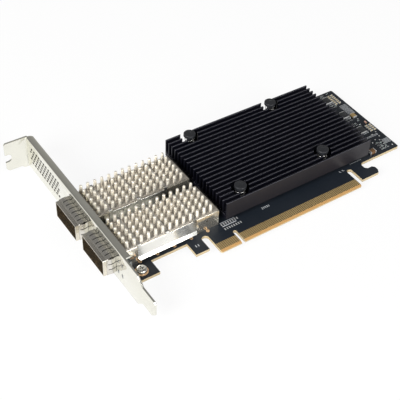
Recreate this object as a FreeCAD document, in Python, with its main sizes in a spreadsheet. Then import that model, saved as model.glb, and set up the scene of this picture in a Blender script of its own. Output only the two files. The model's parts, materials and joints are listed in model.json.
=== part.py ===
# Dual-port network interface card: low-profile board on a full-height bracket.
# Frame: origin in the middle of the edge connector's key slot, on the board's top face,
# +X along the board away from the bracket, +Y from the contacts to the top edge, +Z up.
import FreeCAD
import Part
import math
import os
import re
import Sketcher

doc = FreeCAD.newDocument("network_card")

# ---------------------------------------------------------------- driving sizes, in mm
sizes = {
    # board outline
    "boardThickness": 1.57,
    "boardLeft": -56.8,
    "boardRight": 108.8,
    "boardTopEdge": 68.9,
    "tabLeft": -12.15,
    "tabRight": 72.15,
    "tabCorner": 0.5,
    "keyWidth": 1.9,
    "keyDepth": 8.25,
    "bevelDepth": 1.3,
    "bevelHeight": 0.45,
    "wideSlotWidth": 3.7,
    "hookSlotWidth": 3.05,
    "slotTop": 12.6,
    "legWidth": 7.2,
    "legBottom": 4.6,
    "footWidth": 14.7,
    "hookWidth": 11.9,
    "hookBottom": 3.1,
    "hookTip": 8.4,
    "hookThroat": 6.8,
    "tailEdge": 13.2,
    "cornerRadius": 1.2,
    # edge contacts
    "contactPitch": 1.0,
    "contactWidth": 0.7,
    "contactFoot": 1.35,
    "contactTop": 5.5,
    "plating": 0.06,
    "contactKeyInset": 0.55,
    "shortContacts": 11,
    "longContacts": 71,
    # bracket
    "bracketPlane": -57.15,
    "sheet": 0.86,
    "bracketLow": -4.0,
    "bracketWidth": 18.42,
    "bracketTop": 103.0,
    "shoulder": -3.0,
    "tongueStart": -7.0,
    "tongueEnd": -17.02,
    "tongueWidth": 10.19,
    "tongueChamfer": 2.6,
    "tabDepth": 11.43,
    "tabCut": 1.4,
    "notchWidth": 4.42,
    "notchDepth": 3.3,
    "notchPlace": 9.2,
    "lipDepth": 2.4,
    "lipLow": 8.0,
    "lipCorner": 1.2,
    "bendRadius": 0.6,
    "footReach": 13.0,
    "footSpan": 8.0,
    "windowGap": 0.35,
    # bracket vent
    "ventPitch": 2.5,
    "ventRadius": 0.98,
    "ventColumns": 12,
    "ventRows": 5,
    "ventLow": 69.0,
    "ventBottom": 1.6,
    # status lamps
    "lampPitch": 3.4,
    "lampRow": 6.4,
    "lampWidth": 1.2,
    "lampLength": 2.2,
    "lampInset": 6.0,
    "lampHeight": 0.4,
    "lampGap": 0.08,
    # bracket screws
    "screwPlace": -48.7,
    "screwLow": 9.4,
    "screwHigh": 64.4,
    "screwRadius": 1.5,
    "screwGap": 0.1,
    "threadGap": 0.02,
    "screwHeadRadius": 2.5,
    "screwHeadHeight": 1.9,
    "screwLength": 3.1,
    "recessWidth": 0.6,
    "recessSpan": 2.6,
    "recessDepth": 1.0,
    "landRadius": 3.1,
    # port cages
    "cageFront": -64.3,
    "cageLength": 60.4,
    "cageWidth": 19.0,
    "cageHeight": 9.3,
    "cageWall": 0.3,
    "portPlace": 24.9,
    "portPitch": 25.1,
    "roofStart": 13.6,
    "roofEnd": 2.8,
    "roofRim": 1.8,
    "tailPitch": 9.05,
    "tailCount": 5,
    "tailInset": 17.7,
    "tailWidth": 0.7,
    "tailReach": 2.3,
    "tailHoleRadius": 0.55,
    "latchInset": 4.0,
    "latchRadius": 0.45,
    "ringRadius": 0.85,
    # EMI collars
    "collarFront": 1.7,
    "collarLength": 5.0,
    "collarSheet": 0.15,
    "collarGap": 0.03,
    "collarBulge": 0.45,
    "collarLip": 0.8,
    "collarTail": 1.3,
    "collarSlotWidth": 0.3,
    "collarSlotInset": 0.1,
    "collarSlotCount": 6,
    "collarSideSlots": 2,
    # port connectors
    "plugLength": 12.0,
    "plugSideGap": 1.2,
    "plugHeight": 7.2,
    "plugRearGap": 0.4,
    "plugCheek": 2.0,
    "plugMouthHeight": 1.3,
    "plugMouthDepth": 6.0,
    # riding heat sinks
    "sinkFrontInset": 10.3,
    "sinkRearInset": 0.7,
    "sinkSideInset": 0.2,
    "sinkBase": 0.8,
    "sinkRide": 0.05,
    "sinkBossGap": 0.4,
    "sinkBossReach": 0.1,
    "pinRadius": 0.92,
    "pinHeight": 4.0,
    "pinFrontInset": 2.2,
    "pinRearInset": 3.4,
    "pinSideInset": 0.95,
    "pinColumns": 13,
    "pinRows": 6,
    # heat sink clips
    "clipSheet": 0.3,
    "clipGap": 0.05,
    "strapWidth": 1.7,
    "strapSkip": 1.5,
    "strapStep": 4,
    "strapCount": 3,
    "skirtBottom": 1.5,
    "skirtLip": 1.3,
    "skirtCorner": 0.8,
    # main heat sink
    "coolerGap": 3.1,
    "coolerLength": 88.3,
    "coolerLow": 13.8,
    "coolerDepth": 53.3,
    "coolerBottom": 3.0,
    "coolerBase": 2.2,
    "coolerTop": 12.9,
    "finCount": 20,
    "finThickness": 0.8,
    "pinHoleRadius": 1.7,
    "pinBayRadius": 4.6,
    # push pins and springs
    "pushInset": 12.2,
    "pushEdgeInset": 6.6,
    "pushSpanX": 49.8,
    "pushSpanY": 43.8,
    "capRadius": 3.0,
    "capTop": 14.1,
    "capHeight": 1.5,
    "stemRadius": 1.45,
    "barbRadius": 2.0,
    "barbGap": 0.15,
    "barbLength": 1.5,
    "springRadius": 2.35,
    "springWire": 0.5,
    "springTurns": 4,
    "springSides": 6,
    # controller chip and pad
    "chipPinGap": 1.0,
    "chipBase": 1.2,
    "lidInset": 3.4,
    "padInset": 1.0,
    "lidHeight": 1.5,
    # small parts on the board
    "capacitorLength": 1.6,
    "capacitorWidth": 0.8,
    "capacitorHeight": 0.8,
    "capacitorPlace": 102.2,
    "capacitorLowPlace": 103.8,
    "capacitorHigh": 57.2,
    "capacitorLow": 29.7,
    "capacitorRows": 6,
    "capacitorPitchX": 2.3,
    "capacitorPitchY": 1.45,
    "resistorLength": 1.0,
    "resistorWidth": 0.5,
    "resistorHeight": 0.4,
    "resistorPlace": 98.6,
    "resistorLowPlace": 99.2,
    "resistorHigh": 65.4,
    "resistorBridge": 55.8,
    "resistorMiddle": 42.2,
    "resistorInner": 37.4,
    "resistorLow": 15.4,
    "resistorPitchX": 1.9,
    "resistorPitchY": 1.6,
    "regulatorLength": 4.2,
    "regulatorWidth": 5.0,
    "regulatorHeight": 0.95,
    "regulatorPlace": 97.8,
    "regulatorLow": 30.6,
    "regulatorPitch": 14.6,
    "regulatorCount": 3,
    "inductorSize": 4.4,
    "inductorHeight": 2.4,
    "inductorPlace": 89.2,
    "inductorLow": 34.6,
    "inductorPitch": 16.4,
    "oscillatorLength": 2.5,
    "oscillatorWidth": 3.2,
    "oscillatorHeight": 1.1,
    "oscillatorPlace": 103.2,
    "oscillatorLow": 43.2,
    "polymerLength": 3.5,
    "polymerWidth": 2.8,
    "polymerHeight": 1.9,
    "polymerPlace": 91.2,
    "polymerLow": 15.0,
    "ledLength": 0.8,
    "ledWidth": 1.6,
    "ledHeight": 0.6,
    "ledPlace": 106.2,
    "ledLow": 36.4,
    "headerPadWidth": 0.55,
    "headerPadLength": 1.3,
    "headerPlace": -3.1,
    "headerLow": 10.5,
    "headerPitch": 1.27,
    "headerRowPitch": 3.2,
    "decouplingPitch": 3.2,
    "flashLength": 5.2,
    "flashWidth": 6.0,
    "flashHeight": 1.7,
    "flashPlace": 92.0,
    "flashLow": 48.0,
    "pipeDepth": 3.6,
}

# places that follow from the sizes, as formulas
cageRear = "(cageFront + cageLength)"
tailPlace = "(cageFront + tailInset)"
ringLow = "(portPlace - cageWidth / 2 - ringRadius - 0.1)"
ringHigh = "(portPlace + portPitch + cageWidth / 2 + ringRadius + 0.1)"
sinkStart = "(cageFront + sinkFrontInset)"
sinkEnd = f"({cageRear} - sinkRearInset)"
pinStart = f"({sinkStart} + pinFrontInset)"
pinPitch = f"(({sinkEnd} - pinRearInset - {pinStart}) / (pinColumns - 1))"
strapPitch = f"(strapStep * {pinPitch})"
lampPlace = "(portPlace - cageWidth / 2 - lampInset)"
coolerLeft = f"({cageRear} + coolerGap)"
pushLeft = f"({coolerLeft} + pushInset)"
pushLow = "(coolerLow + pushEdgeInset)"
chipHalf = "(pushSpanX / 2 - stemRadius - chipPinGap)"
lidHalf = f"({chipHalf} - lidInset)"

sheet = doc.addObject("Spreadsheet::Sheet", "sizes")
for row, (alias, number) in enumerate(sizes.items(), start=1):
    sheet.set(f"A{row}", alias)
    sheet.set(f"B{row}", str(number))
    sheet.setAlias(f"B{row}", alias)
doc.recompute()


# ---------------------------------------------------------------- helpers
def formula(text):
    # names of the sheet get the sheet's name in front
    return re.sub(r"[A-Za-z]\w*", lambda word: f"sizes.{word[0]}" if word[0] in sizes else word[0], text)


def bind(item, place, text):
    item.setExpression(place, formula(text))


def newBody(label):
    body = doc.addObject("PartDesign::Body", label)
    body.Label = label
    body.AllowCompound = True
    return body


def origin(body, role):
    return next(item for item in body.Origin.OriginFeatures if item.Role == role)


def newSketch(body, name, plane, offset):
    sketch = body.newObject("Sketcher::SketchObject", name)
    sketch.AttachmentSupport = [(origin(body, plane), "")]
    sketch.MapMode = "FlatFace"
    sign = "-" if plane == "XZ_Plane" else ""
    bind(sketch, "AttachmentOffset.Base.z", f"{sign}({offset}) * 1 mm")
    return sketch


def fixPoint(sketch, geometry, vertex, across, up):
    for kind, text in (("DistanceX", across), ("DistanceY", up)):
        number = sketch.addConstraint(Sketcher.Constraint(kind, -1, 1, geometry, vertex, 1.0))
        bind(sketch, f"Constraints[{number}]", f"({text}) * 1 mm")


def addPolygon(sketch, corners):
    first = sketch.GeometryCount
    count = len(corners)
    ring = [FreeCAD.Vector(math.cos(turn), math.sin(turn), 0)
            for turn in (2 * math.pi * index / count for index in range(count))]
    for index in range(count):
        sketch.addGeometry(Part.LineSegment(ring[index], ring[(index + 1) % count]))
    for index in range(count):
        following = first + (index + 1) % count
        sketch.addConstraint(Sketcher.Constraint("Coincident", first + index, 2, following, 1))
    for index, (across, up) in enumerate(corners):
        fixPoint(sketch, first + index, 1, across, up)


def box2d(left, low, right, high):
    return [(left, low), (right, low), (right, high), (left, high)]


def addCircle(sketch, across, up, radius):
    number = sketch.addGeometry(Part.Circle(FreeCAD.Vector(1, 1, 0), FreeCAD.Vector(0, 0, 1), 1))
    fixPoint(sketch, number, 3, across, up)
    size = sketch.addConstraint(Sketcher.Constraint("Radius", number, 1.0))
    bind(sketch, f"Constraints[{size}]", f"({radius}) * 1 mm")


def pad(body, sketch, length):
    # grows from the sketch toward the positive axis
    feature = body.newObject("PartDesign::Pad", f"{sketch.Name}Pad")
    feature.Profile = sketch
    feature.Reversed = origin(body, "XZ_Plane") == sketch.AttachmentSupport[0][0]
    bind(feature, "Length", f"({length}) * 1 mm")
    sketch.Visibility = False
    return feature


def pocket(body, sketch, length):
    # cuts from the sketch toward the positive axis
    doc.recompute()
    before = body.Shape.Volume
    feature = body.newObject("PartDesign::Pocket", f"{sketch.Name}Pocket")
    feature.Profile = sketch
    feature.Reversed = origin(body, "XZ_Plane") != sketch.AttachmentSupport[0][0]
    bind(feature, "Length", f"({length}) * 1 mm")
    sketch.Visibility = False
    doc.recompute()
    if not body.Shape.Volume < before:
        raise ValueError(f"{feature.Name} cuts nothing")
    return feature


def repeat(body, feature, role, pitch, count, role2=None, pitch2="0", count2="1"):
    pattern = body.newObject("PartDesign::LinearPattern", f"{feature.Name}Row")
    pattern.Originals = [feature]
    pattern.Direction = (origin(body, role), [""])
    bind(pattern, "Length", f"({pitch}) * ({count} - 1) * 1 mm")
    bind(pattern, "Occurrences", count)
    if role2:
        pattern.Direction2 = (origin(body, role2), [""])
        bind(pattern, "Length2", f"({pitch2}) * ({count2} - 1) * 1 mm")
        bind(pattern, "Occurrences2", count2)
    body.Tip = pattern
    return pattern


def loft(body, name, kind, sections):
    # rectangles across the X axis, each with its place, half width, lower and upper edge
    sketches = []
    for index, (place, half, low, high) in enumerate(sections):
        sketch = newSketch(body, f"{name}{index}", "YZ_Plane", place)
        addPolygon(sketch, box2d(f"-({half})", low, half, high))
        sketch.Visibility = False
        sketches.append(sketch)
    feature = body.newObject(kind, name)
    feature.Profile = sketches[0]
    feature.Sections = sketches[1:]
    feature.Ruled = True
    return feature


def evenPolygon(across, up, radius, sides):
    turns = [360 * side / sides for side in range(sides)]
    return [(f"{across} + {radius} * cos({turn})", f"{up} + {radius} * sin({turn})") for turn in turns]


def roundEdges(body, name, radius, test):
    doc.recompute()
    base = body.Tip
    names = [f"Edge{number}" for number, edge in enumerate(base.Shape.Edges, start=1)
             if len(edge.Vertexes) == 2 and all(test(vertex.Point) for vertex in edge.Vertexes)]
    if not names:
        raise ValueError(f"{name} finds no edge")
    feature = body.newObject("PartDesign::Fillet", name)
    feature.Base = (base, names)
    bind(feature, "Radius", f"{radius} * 1 mm")
    return feature


def near(first, second):
    return abs(first - second) < 0.01


def place(body, across="0", along="0", up="0"):
    for axis, text in (("x", across), ("y", along), ("z", up)):
        bind(body, f"Placement.Base.{axis}", f"({text}) * 1 mm")


def prism(body, name, plane, offset, corners, length):
    sketch = newSketch(body, name, plane, offset)
    addPolygon(sketch, corners)
    return pad(body, sketch, length)


def prismOf(body, name, offset, corners, length):
    return prism(body, name, "XY_Plane", offset, corners, length)


def cut(body, name, plane, offset, corners, length):
    sketch = newSketch(body, name, plane, offset)
    addPolygon(sketch, corners)
    return pocket(body, sketch, length)


def drill(body, name, plane, offset, centres, radius, length):
    sketch = newSketch(body, name, plane, offset)
    for across, up in centres:
        addCircle(sketch, across, up, radius)
    return pocket(body, sketch, length)


# ---------------------------------------------------------------- board
def makeBoard():
    body = newBody("board")
    wideSlotLeft = "tabLeft - wideSlotWidth"
    wideSlotEnd = "slotTop - wideSlotWidth / 2"
    hookLeft = "tabRight + hookSlotWidth"
    hookSlotEnd = "slotTop - hookSlotWidth / 2"
    legLeft = f"{wideSlotLeft} - legWidth"
    hookRight = f"{hookLeft} + hookWidth"
    outline = [
        ("boardLeft", "legBottom"),
        ("boardLeft + footWidth", "legBottom"),
        ("boardLeft + footWidth", "slotTop"),
        (legLeft, "slotTop"),
        (legLeft, "legBottom"),
        (wideSlotLeft, "legBottom"),
        (wideSlotLeft, wideSlotEnd),
        ("tabLeft", wideSlotEnd),
        ("tabLeft", "tabCorner"),
        ("tabLeft + tabCorner", "0"),
        ("tabRight - tabCorner", "0"),
        ("tabRight", "tabCorner"),
        ("tabRight", hookSlotEnd),
        (hookLeft, hookSlotEnd),
        (hookLeft, "hookBottom"),
        (f"{hookRight} - cornerRadius", "hookBottom"),
        (hookRight, "hookBottom + 1.6 * cornerRadius"),
        (hookRight, "hookTip - cornerRadius"),
        (f"{hookRight} - cornerRadius", "hookTip"),
        (f"{hookLeft} + hookThroat + cornerRadius", "hookTip"),
        (f"{hookLeft} + hookThroat", "hookTip + cornerRadius"),
        (f"{hookLeft} + hookThroat", "tailEdge - cornerRadius"),
        (f"{hookLeft} + hookThroat + cornerRadius", "tailEdge"),
        ("boardRight - cornerRadius / 2", "tailEdge"),
        ("boardRight", "tailEdge + cornerRadius / 2"),
        ("boardRight", "boardTopEdge - cornerRadius / 2"),
        ("boardRight - cornerRadius / 2", "boardTopEdge"),
        ("boardLeft", "boardTopEdge"),
    ]
    prism(body, "boardOutline", "XY_Plane", "-boardThickness", outline, "boardThickness")
    cut(body, "keySlot", "XY_Plane", "-boardThickness",
        box2d("-keyWidth / 2", "-1", "keyWidth / 2", "keyDepth - keyWidth / 2"), "boardThickness")
    slotEnds = newSketch(body, "slotEnds", "XY_Plane", "-boardThickness")
    addCircle(slotEnds, "0", "keyDepth - keyWidth / 2", "keyWidth / 2")
    addCircle(slotEnds, "tabLeft - wideSlotWidth / 2", wideSlotEnd, "wideSlotWidth / 2")
    addCircle(slotEnds, "tabRight + hookSlotWidth / 2", hookSlotEnd, "hookSlotWidth / 2")
    pocket(body, slotEnds, "boardThickness")
    for name, outer, inner in (("bevelTop", "0", "-bevelHeight"),
                               ("bevelBelow", "-boardThickness", "-boardThickness + bevelHeight")):
        cut(body, name, "YZ_Plane", "tabLeft - 1",
            [("0", outer), ("bevelDepth", outer), ("0", inner)], "tabRight - tabLeft + 2")
    return body


# ---------------------------------------------------------------- plating on the board
def makeEdgeContacts():
    body = newBody("edge_contacts")
    firstShort = "-(contactKeyInset + keyWidth / 2 + (shortContacts - 1) * contactPitch)"
    firstLong = "contactKeyInset + keyWidth / 2"
    for side, level in (("Top", "0"), ("Below", "-boardThickness - plating")):
        for name, centre, count in (("short", firstShort, "shortContacts"),
                                    ("long", firstLong, "longContacts")):
            first = prism(body, f"{name}Contact{side}", "XY_Plane", level,
                          box2d(f"{centre} - contactWidth / 2", "contactFoot",
                                f"{centre} + contactWidth / 2", "contactTop"), "plating")
            repeat(body, first, "X_Axis", "contactPitch", count)
    return body


def makeLands():
    # bare copper under the bracket screws and round the cage pins
    body = newBody("copper_lands")
    lands = newSketch(body, "screwLands", "XY_Plane", "0")
    for along in ("screwLow", "screwHigh"):
        addPolygon(lands, evenPolygon("screwPlace", along, "landRadius", 20))
        addPolygon(lands, evenPolygon("screwPlace", along, "(screwRadius + screwGap)", 12))
    pad(body, lands, "plating")
    rings = newSketch(body, "pinRings", "XY_Plane", "0")
    for along in (ringLow, ringHigh):
        addPolygon(rings, evenPolygon(tailPlace, along, "ringRadius", 8))
        addPolygon(rings, evenPolygon(tailPlace, along, "tailHoleRadius", 6))
    repeat(body, pad(body, rings, "plating"), "X_Axis", "tailPitch", "tailCount")
    return body


def drillBoard(body):
    holes = newSketch(body, "boardHoles", "XY_Plane", "-boardThickness")
    for along in ("screwLow", "screwHigh"):
        addPolygon(holes, evenPolygon("screwPlace", along, "(screwRadius + screwGap)", 12))
    for across, along in pushPlaces():
        addPolygon(holes, evenPolygon(across, along, "(stemRadius + barbGap)", 12))
    pocket(body, holes, "boardThickness")
    vias = newSketch(body, "ringHoles", "XY_Plane", "-boardThickness")
    for along in (ringLow, ringHigh):
        addPolygon(vias, evenPolygon(tailPlace, along, "tailHoleRadius", 6))
    repeat(body, pocket(body, vias, "boardThickness"), "X_Axis", "tailPitch", "tailCount")
    doc.recompute()
    slots = newSketch(body, "tailHoles", "XY_Plane", "-boardThickness")
    for along in cageWallPlaces():
        addPolygon(slots, evenPolygon(f"({tailPlace} + tailPitch / 2)", along, "tailHoleRadius", 4))
    repeat(body, pocket(body, slots, "boardThickness"), "X_Axis", "tailPitch", "tailCount - 1")


def pushPlaces():
    return [(across, along) for across in (pushLeft, f"({pushLeft} + pushSpanX)")
            for along in (pushLow, f"({pushLow} + pushSpanY)")]


def cageWallPlaces():
    walls = []
    for port in ("portPlace", "portPlace + portPitch"):
        walls.append(f"({port} - cageWidth / 2 + cageWall / 2)")
        walls.append(f"({port} + cageWidth / 2 - cageWall / 2)")
    return walls


# ---------------------------------------------------------------- bracket and its screws
def makeBracket():
    body = newBody("bracket")
    high = "bracketLow + bracketWidth"
    middle = "bracketLow + bracketWidth / 2"
    front = "bracketPlane - sheet"
    plate = [
        ("bracketTop", "bracketLow"),
        ("bracketTop", high),
        ("shoulder", high),
        ("tongueStart", f"{middle} + tongueWidth / 2"),
        ("tongueEnd + tongueChamfer / 3", f"{middle} + tongueWidth / 2"),
        ("tongueEnd", f"{middle} + tongueWidth / 2 - tongueChamfer / 3"),
        ("tongueEnd", f"{middle} - tongueWidth / 2 + tongueChamfer"),
        ("tongueEnd + tongueChamfer", f"{middle} - tongueWidth / 2"),
        ("tongueStart", f"{middle} - tongueWidth / 2"),
        ("shoulder", "bracketLow"),
    ]
    prism(body, "plate", "YZ_Plane", front, plate, "sheet")
    tab = [
        ("bracketPlane", "bracketLow"),
        ("bracketPlane", high),
        (f"{front} - tabDepth + tabCut / 2", high),
        (f"{front} - tabDepth", f"{high} - tabCut / 2"),
        (f"{front} - tabDepth", "bracketLow + 2 * tabCut"),
        (f"{front} - tabDepth + tabCut", "bracketLow + tabCut"),
        (f"{front} - tabDepth / 3", "bracketLow + tabCut"),
        (f"{front} - tabDepth / 6", "bracketLow"),
    ]
    prism(body, "tab", "XZ_Plane", "bracketTop - sheet", tab, "sheet")
    lip = [
        (front, "lipLow"),
        ("bracketPlane + lipDepth", "lipLow"),
        ("bracketPlane + lipDepth", "bracketTop - sheet - lipCorner"),
        ("bracketPlane + lipDepth - lipCorner", "bracketTop - sheet"),
        (front, "bracketTop - sheet"),
    ]
    prism(body, "lip", "XY_Plane", f"{high} - sheet", lip, "sheet")
    feet = newSketch(body, "feet", "XY_Plane", "-boardThickness - sheet")
    for along in ("screwLow", "screwHigh"):
        addPolygon(feet, box2d(front, f"{along} - footSpan / 2",
                               "bracketPlane + footReach", f"{along} + footSpan / 2"))
    pad(body, feet, "sheet")
    bendBracket(body)
    openBracket(body)
    return body


def bendBracket(body):
    plane = sizes["bracketPlane"]
    front = plane - sizes["sheet"]
    top = sizes["bracketTop"]
    high = sizes["bracketLow"] + sizes["bracketWidth"]
    roundEdges(body, "tabBend", "bendRadius", lambda point: near(point.x, plane) and near(point.y, top))
    roundEdges(body, "lipBend", "bendRadius", lambda point: near(point.x, front) and near(point.z, high)
               and sizes["shoulder"] - 1 < point.y < top - sizes["sheet"] / 2)


def openBracket(body):
    front = "bracketPlane - sheet"
    for index, port in enumerate(("portPlace", "portPlace + portPitch")):
        cut(body, f"portWindow{index}", "YZ_Plane", f"{front} - 0.1",
            box2d(f"{port} - cageWidth / 2 - windowGap", "-windowGap",
                  f"{port} + cageWidth / 2 + windowGap", "cageHeight + windowGap"), "sheet + 0.2")
    vent = newSketch(body, "ventHoles", "YZ_Plane", f"{front} - 0.1")
    for row in range(int(sizes["ventRows"])):
        shift = "ventPitch / 2" if row % 2 else "0"
        addPolygon(vent, evenPolygon(f"(ventLow + {shift})", f"(ventBottom + {row} * ventPitch * sin(60))",
                                     "ventRadius", 6))
    repeat(body, pocket(body, vent, "sheet + 0.2"), "Y_Axis", "ventPitch", "ventColumns")
    lamps = newSketch(body, "lampWindows", "YZ_Plane", f"{front} - 0.1")
    for along in (lampPlace, f"{lampPlace} + lampPitch"):
        for up in ("lampHeight", "lampHeight + lampRow"):
            addPolygon(lamps, box2d(along, up, f"{along} + lampWidth", f"{up} + lampLength"))
    pocket(body, lamps, "sheet + 0.2")
    notch = newSketch(body, "screwNotch", "XZ_Plane", "bracketTop - sheet - 0.1")
    low = "bracketLow + notchPlace - notchWidth / 2"
    addPolygon(notch, box2d(f"{front} - tabDepth - 1", low,
                            f"{front} - tabDepth + notchDepth - notchWidth / 2", f"{low} + notchWidth"))
    pocket(body, notch, "sheet + 0.2")
    drill(body, "notchEnd", "XZ_Plane", "bracketTop - sheet - 0.1",
          [(f"{front} - tabDepth + notchDepth - notchWidth / 2", f"{low} + notchWidth / 2")],
          "notchWidth / 2", "sheet + 0.2")
    drill(body, "footHoles", "XY_Plane", "-boardThickness - sheet - 0.1",
          [("screwPlace", "screwLow"), ("screwPlace", "screwHigh")], "screwRadius + threadGap", "sheet + 0.2")


def makeBracketScrews():
    body = newBody("bracket_screws")
    crown = "plating + screwHeadHeight"
    head = prismOf(body, "screwHead", "plating",
                   evenPolygon("0", "0", "screwHeadRadius", 16), "screwHeadHeight")
    shank = prismOf(body, "screwShank", "plating - screwLength",
                    evenPolygon("0", "0", "screwRadius", 10), "screwLength")
    doc.recompute()
    recess = newSketch(body, "crossRecess", "XY_Plane", f"{crown} - recessDepth")
    near, far = "recessWidth / 2", "recessSpan / 2"
    addPolygon(recess, [
        (far, f"-{near}"), (far, near), (near, near), (near, far), (f"-{near}", far), (f"-{near}", near),
        (f"-{far}", near), (f"-{far}", f"-{near}"), (f"-{near}", f"-{near}"), (f"-{near}", f"-{far}"),
        (near, f"-{far}"), (near, f"-{near}"),
    ])
    socket = pocket(body, recess, "recessDepth + 0.1")
    pair = body.newObject("PartDesign::LinearPattern", "screwPair")
    pair.Originals = [head, shank, socket]
    pair.Direction = (origin(body, "Y_Axis"), [""])
    bind(pair, "Length", "(screwHigh - screwLow) * 1 mm")
    pair.Occurrences = 2
    body.Tip = pair
    place(body, "screwPlace", "screwLow")
    return body


# ---------------------------------------------------------------- ports
def makeCage(index):
    body = newBody(f"port_cage_{index + 1}")
    half = "cageWidth / 2"
    rear = cageRear
    prism(body, f"shell{index}", "YZ_Plane", "cageFront",
          box2d(f"-{half}", "0", half, "cageHeight"), "cageLength")
    cut(body, f"tunnel{index}", "YZ_Plane", "cageFront",
        box2d(f"cageWall - {half}", "cageWall", f"{half} - cageWall", "cageHeight - cageWall"),
        "cageLength - cageWall")
    cut(body, f"roofWindow{index}", "XY_Plane", "cageHeight - cageWall - 0.1",
        box2d("cageFront + roofStart", f"roofRim - {half}", f"{rear} - roofEnd", f"{half} - roofRim"),
        "cageWall + 0.2")
    cut(body, f"floorWindow{index}", "XY_Plane", "-0.1",
        box2d(f"{rear} - cageWall - plugLength - 2 * plugRearGap", f"plugSideGap - plugRearGap - {half}",
              f"{rear} - cageWall", f"{half} - plugSideGap + plugRearGap"), "cageWall + 0.2")
    tails = newSketch(body, f"tails{index}", "XY_Plane", "-tailReach")
    first = f"{tailPlace} + tailPitch / 2 - tailWidth / 2"
    for edge in (f"-{half}", f"{half} - cageWall"):
        addPolygon(tails, box2d(first, edge, f"{first} + tailWidth", f"{edge} + cageWall"))
    repeat(body, pad(body, tails, "tailReach"), "X_Axis", "tailPitch", "tailCount - 1")
    dimples = newSketch(body, f"latchHoles{index}", "XZ_Plane", f"-{half} - 0.1")
    for across, up in (("4", "cageHeight / 2"), ("2.6", "cageHeight / 3"), ("1.6", "cageHeight * 0.6")):
        addPolygon(dimples, evenPolygon(f"({rear} - {across} * latchInset)", up, "latchRadius", 6))
    pocket(body, dimples, "cageWidth + 0.2")
    place(body, along=f"portPlace + {index} * portPitch")
    return body


def makeCollar(index):
    body = newBody(f"emi_collar_{index + 1}")
    start = "cageFront + collarFront"
    end = f"{start} + collarLength"
    stations = ((start, "0"), (f"{start} + collarLip", "collarBulge"),
                (f"{end} - collarTail", "collarBulge"), (end, "0"))
    topPitch = "(cageWidth / (collarSlotCount + 1))"
    sidePitch = "(cageHeight / (collarSideSlots + 1))"
    for kind, name, skin in (("PartDesign::AdditiveLoft", f"band{index}", "collarGap + collarSheet"),
                             ("PartDesign::SubtractiveLoft", f"hollow{index}", "collarGap")):
        loft(body, name, kind, [
            (station, f"cageWidth / 2 + {skin} + {bulge}", f"-({skin}) - {bulge}",
             f"cageHeight + {skin} + {bulge}")
            for station, bulge in stations])
        doc.recompute()
    slotStart = f"{start} + collarLip + collarSlotInset"
    slotEnd = f"{end} - collarTail - collarSlotInset"
    slot = cut(body, f"topSlot{index}", "XY_Plane", "-5",
               box2d(slotStart, f"{topPitch} - cageWidth / 2 - collarSlotWidth / 2",
                     slotEnd, f"{topPitch} - cageWidth / 2 + collarSlotWidth / 2"),
               "cageHeight + 10")
    repeat(body, slot, "Y_Axis", topPitch, "collarSlotCount")
    doc.recompute()
    side = cut(body, f"sideSlot{index}", "XZ_Plane", "-cageWidth",
               box2d(slotStart, f"{sidePitch} - collarSlotWidth / 2",
                     slotEnd, f"{sidePitch} + collarSlotWidth / 2"),
               "2 * cageWidth")
    repeat(body, side, "Z_Axis", sidePitch, "collarSideSlots")
    place(body, along=f"portPlace + {index} * portPitch")
    return body


def makePlug(index):
    body = newBody(f"port_connector_{index + 1}")
    start = f"{cageRear} - cageWall - plugRearGap - plugLength"
    half = "(cageWidth / 2 - plugSideGap)"
    prism(body, f"plugBlock{index}", "YZ_Plane", start,
          box2d(f"-{half}", "0", half, "plugHeight"), "plugLength")
    cut(body, f"plugMouth{index}", "YZ_Plane", start,
        box2d(f"plugCheek - {half}", "plugHeight / 2 - plugMouthHeight / 2",
              f"{half} - plugCheek", "plugHeight / 2 + plugMouthHeight / 2"), "plugMouthDepth")
    place(body, along=f"portPlace + {index} * portPitch")
    return body


def makeSink(index):
    body = newBody(f"port_heatsink_{index + 1}")
    floor = "cageHeight + sinkRide"
    half = "(cageWidth / 2 - sinkSideInset)"
    bossHalf = "(cageWidth / 2 - roofRim - sinkBossGap)"
    rowPitch = f"(2 * ({half} - pinSideInset) / (pinRows - 1))"
    prism(body, f"plate{index}", "XY_Plane", floor, box2d(sinkStart, f"-{half}", sinkEnd, half), "sinkBase")
    prism(body, f"boss{index}", "XY_Plane", "cageHeight - cageWall - sinkBossReach",
          box2d("cageFront + roofStart + sinkBossGap", f"-{bossHalf}",
                f"{cageRear} - roofEnd - sinkBossGap", bossHalf), "cageWall + sinkBossReach + sinkRide")
    pins = newSketch(body, f"pins{index}", "XY_Plane", f"{floor} + sinkBase")
    for row in range(int(sizes["pinRows"])):
        along = f"({row} * {rowPitch} - {half} + pinSideInset)"
        addPolygon(pins, evenPolygon(pinStart, along, "pinRadius", 4))
    repeat(body, pad(body, pins, "pinHeight"), "X_Axis", pinPitch, "pinColumns")
    place(body, along=f"portPlace + {index} * portPitch")
    return body


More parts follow.
